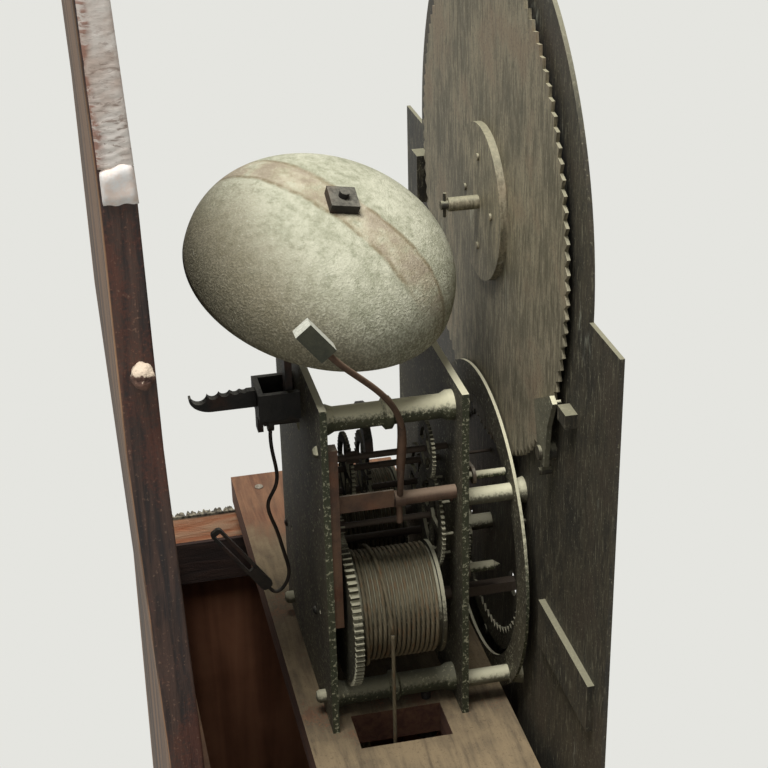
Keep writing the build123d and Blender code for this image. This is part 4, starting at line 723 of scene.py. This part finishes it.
# Strokes of each letter, from one place to another as shares of its width and height, with their widths.
letter_widths = {"I": 3.6, "V": 9.5, "X": 9.5}
letter_strokes = {"I": ((0.5, 0, 0.5, 1, 2.0),),
                  "V": ((0.18, 1, 0.5, 0, 2.2), (0.82, 1, 0.5, 0, 0.8)),
                  "X": ((0.18, 1, 0.82, 0, 2.2), (0.18, 0, 0.82, 1, 0.8))}
serif_gap, serif_width = 0.3, 0.6


def numeral(letters, middle, height):
    """Roman numeral of thick and thin strokes with serifs, standing on the ring at 12 o'clock."""
    shapes, x = [], -sum(letter_widths[letter] for letter in letters) / 2
    low, high = middle - height / 2, middle + height / 2
    for letter in letters:
        wide = letter_widths[letter]
        shapes += [stroke(x + wide * x0, low + height * z0, x + wide * x1, low + height * z1, thick)
                   for x0, z0, x1, z1, thick in letter_strokes[letter]]
        shapes += [stroke(x + serif_gap, z, x + wide - serif_gap, z, serif_width) for z in (low, high)]
        x += wide
    return shapes


hours = ("XII", "I", "II", "III", "IIII", "V", "VI", "VII", "VIII", "IX", "X", "XI")
hour_ring, minute_ring, seconds_ring, seconds_z, hour_length = 124.0, 148.0, 24.0, 42.0, 30
ink = [turned_about(shape, k * np.pi / 6) for k, hour in enumerate(hours)
       for shape in numeral(hour, hour_ring, hour_length)]
for k in range(60):
    length, wide = (4.5, 1.4) if k % 5 == 0 else (2.2, 0.8)
    ink.append(turned_about(stroke(0, minute_ring, 0, minute_ring + length, wide), k * np.pi / 30))
    tick = turned_about(stroke(0, seconds_ring - 2, 0, seconds_ring, 0.35), k * np.pi / 30)
    ink.append(tick + (0, seconds_z))
arc = np.arange(121) * 2 * np.pi / 120
for ring, middle, step in ((minute_ring - 2, 0, 0.5), (minute_ring + 7, 0, 0.5),
                           (seconds_ring + 0.6, seconds_z, 0.3)):
    edge, far = [np.stack([reach * np.sin(arc), reach * np.cos(arc) + middle], 1)
                 for reach in (ring, ring + step)]
    ink += list(np.stack([edge[:-1], edge[1:], far[1:], far[:-1]], 1))
blocks("dial_hours_and_minutes", ink, black_paint, dial_front, paint_rise)


def scroll(x, z, size, start):
    """Leafy C scroll: a spiral whose reach shrinks as (1 - t) ** 1.2 while it makes most of two turns."""
    t = np.linspace(0, 1, 40)
    reach, angle = size * (1 - t) ** 1.2, start + t * 3.4 * np.pi / 2
    line = np.stack([x + reach * np.cos(angle), z + reach * np.sin(angle)], 1)
    width = size * 0.09 * np.sin(np.pi * np.clip(t * 0.9 + 0.08, 0, 1)) + 0.25
    side = np.gradient(line, axis=0)[:, ::-1] * (-1, 1)
    side /= np.linalg.norm(side, axis=1)[:, None]
    one, other = line + side * width[:, None], line - side * width[:, None]
    return list(np.stack([one[:-1], one[1:], other[1:], other[:-1]], 1))


gilt = []
for x, z in ((-1, -1), (1, -1), (-1, 1), (1, 1)):
    for dx, dz, size, start in ((146, 146, 20, 0.7), (158, 122, 13, 1.6), (122, 158, 13, -0.1),
                                (161, 161, 8, 2.3)):
        gilt += [shape * (x, z) for shape in scroll(dx, dz, size, start + np.pi)]
blocks("dial_corner_scrolls", gilt, gilt_paint, dial_front, paint_rise)


# The hands: cut and filed from thin steel, blued and now dull brown blue.
def blued_steel():
    steel = Finish("dull_blued_steel")
    base = steel.mix(steel.noise(0.01).between(0.35, 0.7), (36, 40, 52), (58, 50, 46))
    return steel.paint(base, 0.42, steel.noise(0.0012, 3), 0.00008, 0.6)


finished(blued_steel(), "hour_hand", "minute_hand", "second_hand")


# The seatboard: a thick softwood board, grey tan with dust that has caked in its grain, redder where
# the dust is rubbed off, cleaner and orange towards its far end, with a few drips and nail holes.
def dusty_board():
    wood = Finish("dusty_seatboard")
    grain = wood.noise(0.0035, 5, stretch=(9, 1, 1), bend=0.4)
    patch, grit = wood.noise(0.035, 5), wood.noise(0.0013, 3, 0.65)
    bare = wood.mix(grain.between(0.3, 0.72), (92, 58, 40), (134, 94, 66))
    caked = wood.mix((patch * 0.6 + grain * 0.4).between(0.38, 0.6), (126, 109, 82), (92, 80, 61))
    caked = wood.mix(grain.between(0.55, 0.72) * 0.5, caked, (82, 68, 50))
    caked = wood.mix(grit.between(0.42, 0.34) * 0.5, caked, (78, 64, 46))
    rubbed = (patch + (grit - 0.5) * 0.5).between(0.56, 0.66) * 0.6
    far = (wood.x + (patch - 0.5) * 0.08 + (grain - 0.5) * 0.05).between(0.105, 0.17)
    base = wood.mix(wood.up.between(0.5, 0.9) * (1 - rubbed) * (1 - far * 0.8), bare, caked)
    base = wood.mix(grit.between(0.66, 0.74) * 0.4, base, (92, 76, 54))
    # Faces that look sideways or down go dark red brown: painted shade.
    base = wood.mix(wood.up.between(0.4, -0.2) * 0.7, base, (52, 28, 21))
    return wood.paint(base, 0.9, grain * 0.5 + grit * 0.5 + patch * 0.3, 0.0006)


finished(dusty_board(), "seatboard")
nail_outline = [(2.9, -0.2), (2.8, 0.5), (2.3, 0.9), (1.6, 0.6), (1.3, 0.1), (0.05, 0.05)]
nail = turned("seatboard_nail", nail_outline, (193.5, 68.0, seat_top), ((1, 0, 0), (0, 1, 0), (0, 0, 1)),
              "case", filed_iron, sides=24)


# The case: mahogany on the outside, brown and soft with old polish; bare dark boards inside, and
# orange pine for the packing strips that level the seatboard.
def grained(name, deep, light, run, rough=0.45, coat=0.0, vein=0.0045, depth=0.0002, dirt=0.35, bare=False):
    """Wood whose grain runs along one axis: fine pores and broader bands between two colours. With
    bare, the faces that look in at the middle of the case are unpolished, brown and dusty."""
    wood = Finish(name)
    stretch = [14 if axis == run else 1 for axis in "xyz"]
    bands = wood.noise(vein * 4, 5, 0.55, stretch=stretch, bend=0.7)
    pores = wood.noise(vein / 4, 3, stretch=[2 * s for s in stretch])
    soiled = wood.noise(0.06, 5)
    base = wood.mix((bands * 0.75 + pores * 0.25).between(0.34, 0.66), deep, light)
    base = wood.mix(pores.between(0.56, 0.72) * 0.45, base, deep)
    base = wood.mix(soiled.between(0.5, 0.75) * dirt, base, (34, 24, 18))
    if bare:
        inner = (wood.x * wood.side).between(0.0, -0.02).most(wood.towards.between(0.5, 0.9))
        rough_side = wood.mix((bands * 0.6 + soiled * 0.4).between(0.35, 0.65), (98, 62, 44), (142, 98, 72))
        base = wood.mix(inner, base, rough_side)
    wood.shader.inputs["Coat Weight"].default_value = coat
    wood.shader.inputs["Coat Roughness"].default_value = 0.3
    return wood.paint(base, pores * 0.15 + rough, pores + bands * 0.4, depth)


mahogany = grained("mahogany", (74, 36, 20), (124, 66, 36), "z", 0.36, 0.15, bare=True)
mahogany_across = grained("mahogany_across", (70, 34, 19), (116, 60, 33), "x", 0.36, 0.15)
finished(mahogany, "trunk_side_left", "trunk_side_right", "trunk_front_frame", "trunk_door", "plinth_box")
finished(mahogany_across, "throat_moulding", "waist_moulding", "base_moulding", "bracket_feet")


def packing_pine():
    """Orange pine with a grey, worm eaten top; below the strip's foot the rail is very dark brown, painted
    shade of the recess under the strip.
    """
    pine = Finish("packing_pine")
    grain = pine.noise(0.004, 5, stretch=(1, 10, 1), bend=0.5)
    worm, grit = pine.noise(0.0035, 3), pine.noise(0.0012, 3)
    base = pine.mix(grain.between(0.3, 0.7), (236, 150, 106), (252, 206, 166))
    grey = pine.mix(worm.between(0.42, 0.62), (58, 52, 42), (136, 128, 108))
    top = (pine.up + (worm - 0.5) * 0.6).between(0.4, 0.8).most(pine.z.between(1.5968, 1.5984))
    base = pine.mix(top, base, grey)
    # Below the strip's foot the rail is very dark brown: painted shade of the recess under the strip.
    rail = pine.mix(grain.between(0.3, 0.7), (34, 22, 17), (54, 36, 27))
    base = pine.mix(pine.z.between(strip_foot + 0.0002, strip_foot - 0.0002), base, rail)
    return pine.paint(base, 0.85, grain + grit * 0.5 + pine.up.between(0.5, 0.9) * worm * 3, 0.0005)


strip_foot = 1.5803
strip_inner, strip_outer, strip_low, strip_high = 199.5, 206.3, 1580.0, 1599.6
rail_inner, rail_outer, rail_depth = 197.0, 203.0, 30.0
strip_front, strip_back = -59.9, 95.0


def gnawed_strip(name, sign, finish):
    """Packing strip under the seatboard's end. Its outer top edge is eaten away in bites, the sizes of
    a sum of sine waves along Y."""
    y = np.linspace(strip_front, strip_back, 260)
    bite = np.abs(np.sin(0.5 * y) + 0.8 * np.sin(1.3 * y + 1) + 0.4 * np.sin(2.9 * y + 2)) / 2.2
    corners = [(strip_inner, strip_low), (strip_outer, strip_low),
               (strip_outer - 2.2 * bite, strip_high - 2.6 * bite), (strip_inner, strip_high)]
    rows = np.stack([np.stack(np.broadcast_arrays(sign * x, y, z), -1) for x, z in corners], 1)
    return skin(name, rows * mm, "case", finish, smooth=False)


pine = packing_pine()
for side, sign in (("strike", -1), ("going", 1)):
    strip = gnawed_strip(side + "_packing_strip", sign, pine)
    x0, x1 = sorted((sign * rail_inner, sign * rail_outer))
    high = strip_low - arbor_height
    rail = blocks(side + "_rail", [rectangle(x0, x1, high - rail_depth, high)], pine,
                  strip_back - plate_y, strip_back - strip_front)
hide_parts("cheek_battens")
hinge_brass = old_brass("hinge_brass", (96, 80, 44), (140, 118, 70), 0.2, 0.3)
finished(hinge_brass, "hinge_leaves_case", "hinge_leaves_door")


# The backboard: a wide board behind the trunk and, fixed to its back, the narrow upright that the hood
# slides against. The upright leans and bows. Its edge is dark red brown with worn corners, its back is
# split into fine layers, and crumpled paper, a lump of plaster and a peg are stuck to the edge.
back_y, back_wall = 110.0, 15.0
neck_half, board_half = 100.0, 203.0
neck_foot, neck_low, neck_top, board_low = 1400.0, 1600.0, 2080.0, 125.0
neck_heights = (neck_foot, 1640.0, 1808.0, 1919.0, 1999.0, neck_top)
neck_fronts = (105.0, 101.0, 106.1, 107.2, 110.8, 112.0)
neck_walls = (15.0, 16.0, 16.0, 15.0, 13.4, 12.6)


def neck_front(z):
    """Front face of the upright at a height, in millimetres; straight runs between measured places."""
    return np.interp(z, neck_heights, neck_fronts)


def neck_wall(z):
    return np.interp(z, neck_heights, neck_walls)


def board_loop(half, corner=1.1, gaps=12):
    """Section of a board one unit thick: the share of its thickness with worn round corners, and x."""
    turn = np.linspace(0, np.pi / 2, 4)
    deep = corner / back_wall
    points = []
    for sx, sy, start in ((1, 1, 0), (-1, 1, 1), (-1, -1, 2), (1, -1, 3)):
        angle = turn + start * np.pi / 2
        points.append(np.stack([sx * (half - corner) + corner * np.cos(angle),
                                sy * (0.5 - deep) + deep * np.sin(angle)], 1))
    loop = []
    for k in range(4):
        loop.append(points[k])
        loop.append(np.linspace(points[k][-1], points[(k + 1) % 4][0], gaps)[1:-1])
    return np.concatenate(loop)


def wood_waves(points, size):
    """Slow unevenness of a surface: three sine waves with unlike lengths along x, y and z, added."""
    x, y, z = np.moveaxis(points / size, -1, 0)
    return (np.sin(1.3 * x + 2.1 * z) + np.sin(2.9 * z + 0.7 * y + 1) + np.sin(4.7 * z + 3.1 * y + 2)) / 3


def board_part(name, half, heights, front, wall, finish):
    """Board whose section is stretched between its front and front + wall at every height."""
    loop = board_loop(half)
    rows = np.empty((len(heights), len(loop), 3))
    rows[..., 0] = loop[:, 0]
    rows[..., 1] = front[:, None] + wall[:, None] * (loop[:, 1] + 0.5)
    rows[..., 2] = heights[:, None]
    wear = 0.45 * (1 + wood_waves(rows, 17.0))
    rows[..., 0] -= np.sign(rows[..., 0]) * wear
    return skin(name, rows * mm, "case", finish)


def backboard_wood():
    """Dark red brown edge and face; the back is paler, in fine upright layers with dark splits."""
    wood = Finish("old_backboard")
    grain = wood.noise(0.004, 5, stretch=(1, 1, 14), bend=0.5)
    patch, grit = wood.noise(0.03, 5, stretch=(1, 1, 2)), wood.noise(0.0015, 3)
    layer = wood.noise(0.0022, stretch=(1, 1, 40))
    base = wood.mix(grain.between(0.36, 0.62), (38, 30, 28), (82, 62, 53))
    base = wood.mix((patch * 0.7 + grit * 0.3).between(0.5, 0.62) * 0.65, base, (98, 56, 42))
    base = wood.mix((patch * 0.6 + grain * 0.4).between(0.45, 0.36) * 0.6, base, (34, 30, 32))
    rubbed = (grain * 0.5 + grit * 0.5).between(0.58, 0.68)
    base = wood.mix(rubbed * 0.5, base, (158, 124, 104))
    bare = wood.mix(layer.between(0.4, 0.6), (84, 62, 44), (168, 128, 94))
    bare = wood.mix(layer.between(0.42, 0.36), bare, (36, 28, 22))
    bare = wood.mix(wood.z.between(1.85, 1.95) * 0.45, bare, (84, 70, 52))
    band = wood.noise(0.016, 5, stretch=(1, 1, 16), bend=0.6)
    plank = wood.mix(band.between(0.38, 0.62), (62, 47, 36), (122, 94, 70))
    plank = wood.mix(wood.x.between(0.04, 0.09) * 0.7, plank, (44, 37, 29))
    bare = wood.mix(wood.x.size().between(0.094, 0.084), bare, plank)
    base = wood.mix((wood.towards + (patch - 0.5) * 0.4).between(0.45, 0.75), base, bare)
    base = wood.mix(grit.between(0.62, 0.72) * 0.35, base, (150, 128, 108))
    return wood.paint(base, 0.6 + grain * 0.2, grain + patch * 0.5 + grit * 0.3 + layer * 0.6, 0.0006)


board_wood = backboard_wood()
plank_wood = grained("old_plank", (80, 58, 42), (124, 94, 68), "z", 0.75, vein=0.008, depth=0.0004)
heights = np.append(np.arange(neck_foot, neck_top, 8.0), neck_top)
neck = board_part("backboard_upright", neck_half, heights, neck_front(heights), neck_wall(heights),
                  board_wood)
heights = np.append(np.arange(board_low, neck_low, 25.0), neck_low)
wide = board_part("backboard_lower", board_half, heights, np.full(len(heights), back_y - back_wall),
                  np.full(len(heights), back_wall), plank_wood)
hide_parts("backboard")

paper_low, paper_high, paper_width = 1934.0, 2079.0, 13
plaster_low, plaster_high = 1918.5, 1936.5


def stuck_on(name, low, high, steps, across, thick, finish):
    """Thin slab on the upright's near edge: its outer face stands proud by thick(s, t) for the shares
    s up the slab and t from the front to the back, its inner face lies just inside the wood."""
    s = np.linspace(0, 1, steps)[:, None]
    t = np.linspace(0, 1, across)[None, :]
    z = low + s * (high - low)
    front, wall = neck_front(z), neck_wall(z)
    y = front - 0.5 + (wall - 0.6) * t
    outer = np.stack([-neck_half - thick(s, t), y, z + 0 * t], -1)
    inner = np.stack([np.full(y.shape, -neck_half + 2.0), y, z + 0 * t], -1)[:, ::-1]
    piece = skin(name, np.concatenate([outer, inner], 1) * mm, "case", finish)
    return piece


def creases(s, t):
    """Crumpled paper: slanted waves, short at the foot and slow higher up, down to the wood at the rim."""
    z, y = s * (paper_high - paper_low), t * paper_width
    short = np.sin(z * 1.9 + y * 0.5 + np.sin(y * 0.9 + z * 0.2)) * np.exp(-z / 45)
    slow = 0.5 * np.sin(z * 0.33 - y * 0.45) + 0.35 * np.sin(z * 0.79 + y * 0.6 + 1.3)
    rim = np.clip(np.minimum(t, 1 - t) * 8, 0, 1)
    return (0.6 + 0.16 * short + 0.08 * slow) * rim - 0.2 * (1 - rim)


def plaster_lump(s, t):
    """Lump 3.1 (1 - |r|^5)(1 - (2t - 1)^8) - 1 with r = 2s - 1 + 0.45 s t^3 + 0.04 sin(13t), which lowers
    its top edge towards the back, and shallow hollows of one sine wave."""
    rim = 2 * s - 1 + 0.45 * s * t ** 3 + 0.04 * np.sin(13 * t)
    body = np.clip(1 - np.abs(rim) ** 5, -0.3, 1) * (1 - (2 * t - 1) ** 8)
    return 3.1 * body - 1 + 0.2 * np.sin(7 * s + 4 * t) * body


def crumpled_paper():
    paper = Finish("crumpled_paper")
    fold = paper.noise(0.0028, 5, 0.65, stretch=(1, 3.5, 1), bend=0.8)
    cloud, grit = paper.noise(0.018), paper.noise(0.0012, 3)
    base = paper.mix(cloud.between(0.35, 0.65), (208, 190, 176), (240, 232, 222))
    # Darker in the folds on the lower paper: painted shade of the creases.
    base = paper.mix(fold.between(0.47, 0.37) * paper.z.between(2.03, 1.95) * 0.75, base, (152, 128, 114))
    # Paler on the ridges of the folds: painted highlight.
    base = paper.mix(fold.between(0.6, 0.74) * 0.6, base, (240, 230, 212))
    stain = (paper.y - 0.1175 + (cloud - 0.5) * 0.014).between(0.001, 0.004) * paper.z.between(2.04, 1.99)
    base = paper.mix(stain * fold.between(0.4, 0.56) * 0.8, base, (144, 86, 60))
    return paper.paint(base, 0.95, fold * paper.z.between(2.05, 1.95) + grit * 0.4, 0.0002)


def rough_plaster():
    plaster = Finish("rough_plaster")
    cloud, grit = plaster.noise(0.006), plaster.noise(0.0009, 3)
    base = plaster.mix(cloud.between(0.35, 0.65), (246, 228, 214), (250, 247, 242))
    return plaster.paint(base, 0.95, cloud + grit * 0.3, 0.00025)


def worn_peg():
    """Brown wood with pale dust where it faces up, darker in its hollows as painted shade."""
    wood = Finish("worn_peg")
    cloud = wood.noise(0.004)
    base = wood.mix(cloud.between(0.35, 0.65), (78, 54, 44), (124, 92, 76))
    base = wood.mix((wood.up + (cloud - 0.5) * 1.6).between(0.15, 0.3), base, (212, 192, 168))
    # Darker in the hollows: painted shade.
    base = wood.mix(cloud.between(0.4, 0.3) * 0.7, base, (52, 34, 28))
    return wood.paint(base, 0.85, cloud, 0.0015)


stuck_on("upright_paper", paper_low, paper_high, 150, 16, creases, crumpled_paper())
stuck_on("upright_plaster", plaster_low, plaster_high, 20, 16, plaster_lump, rough_plaster())
peg_middle, peg_sides = at((-100.0, 149.5, 155.5)), 28
peg_outline = ((-1.0, 4.3), (1.0, 4.5), (2.5, 4.9), (4.0, 4.9), (5.4, 4.5), (6.6, 3.7), (7.4, 2.6),
               (7.9, 1.4), (8.0, 0.1))


def rough_peg():
    """Dome broken off unevenly: its (depth, radius) outline turned round X, each radius times 1 + two
    sine waves of the angle and the depth."""
    depth, reach = np.array(peg_outline).T[:, :, None]
    angle = np.arange(peg_sides) * 2 * np.pi / peg_sides
    reach = reach * (1 + 0.07 * np.sin(3 * angle + depth) + 0.06 * np.sin(5 * angle - 0.8 * depth + 1))
    depth = depth - 0.12 * reach * np.cos(angle) + 0.25 * np.sin(2 * angle + depth)
    rows = np.stack([-depth, reach * np.sin(angle), 1.12 * reach * np.cos(angle)], -1) * mm
    return skin("upright_peg", rows + peg_middle, "case", worn_peg())


rough_peg()
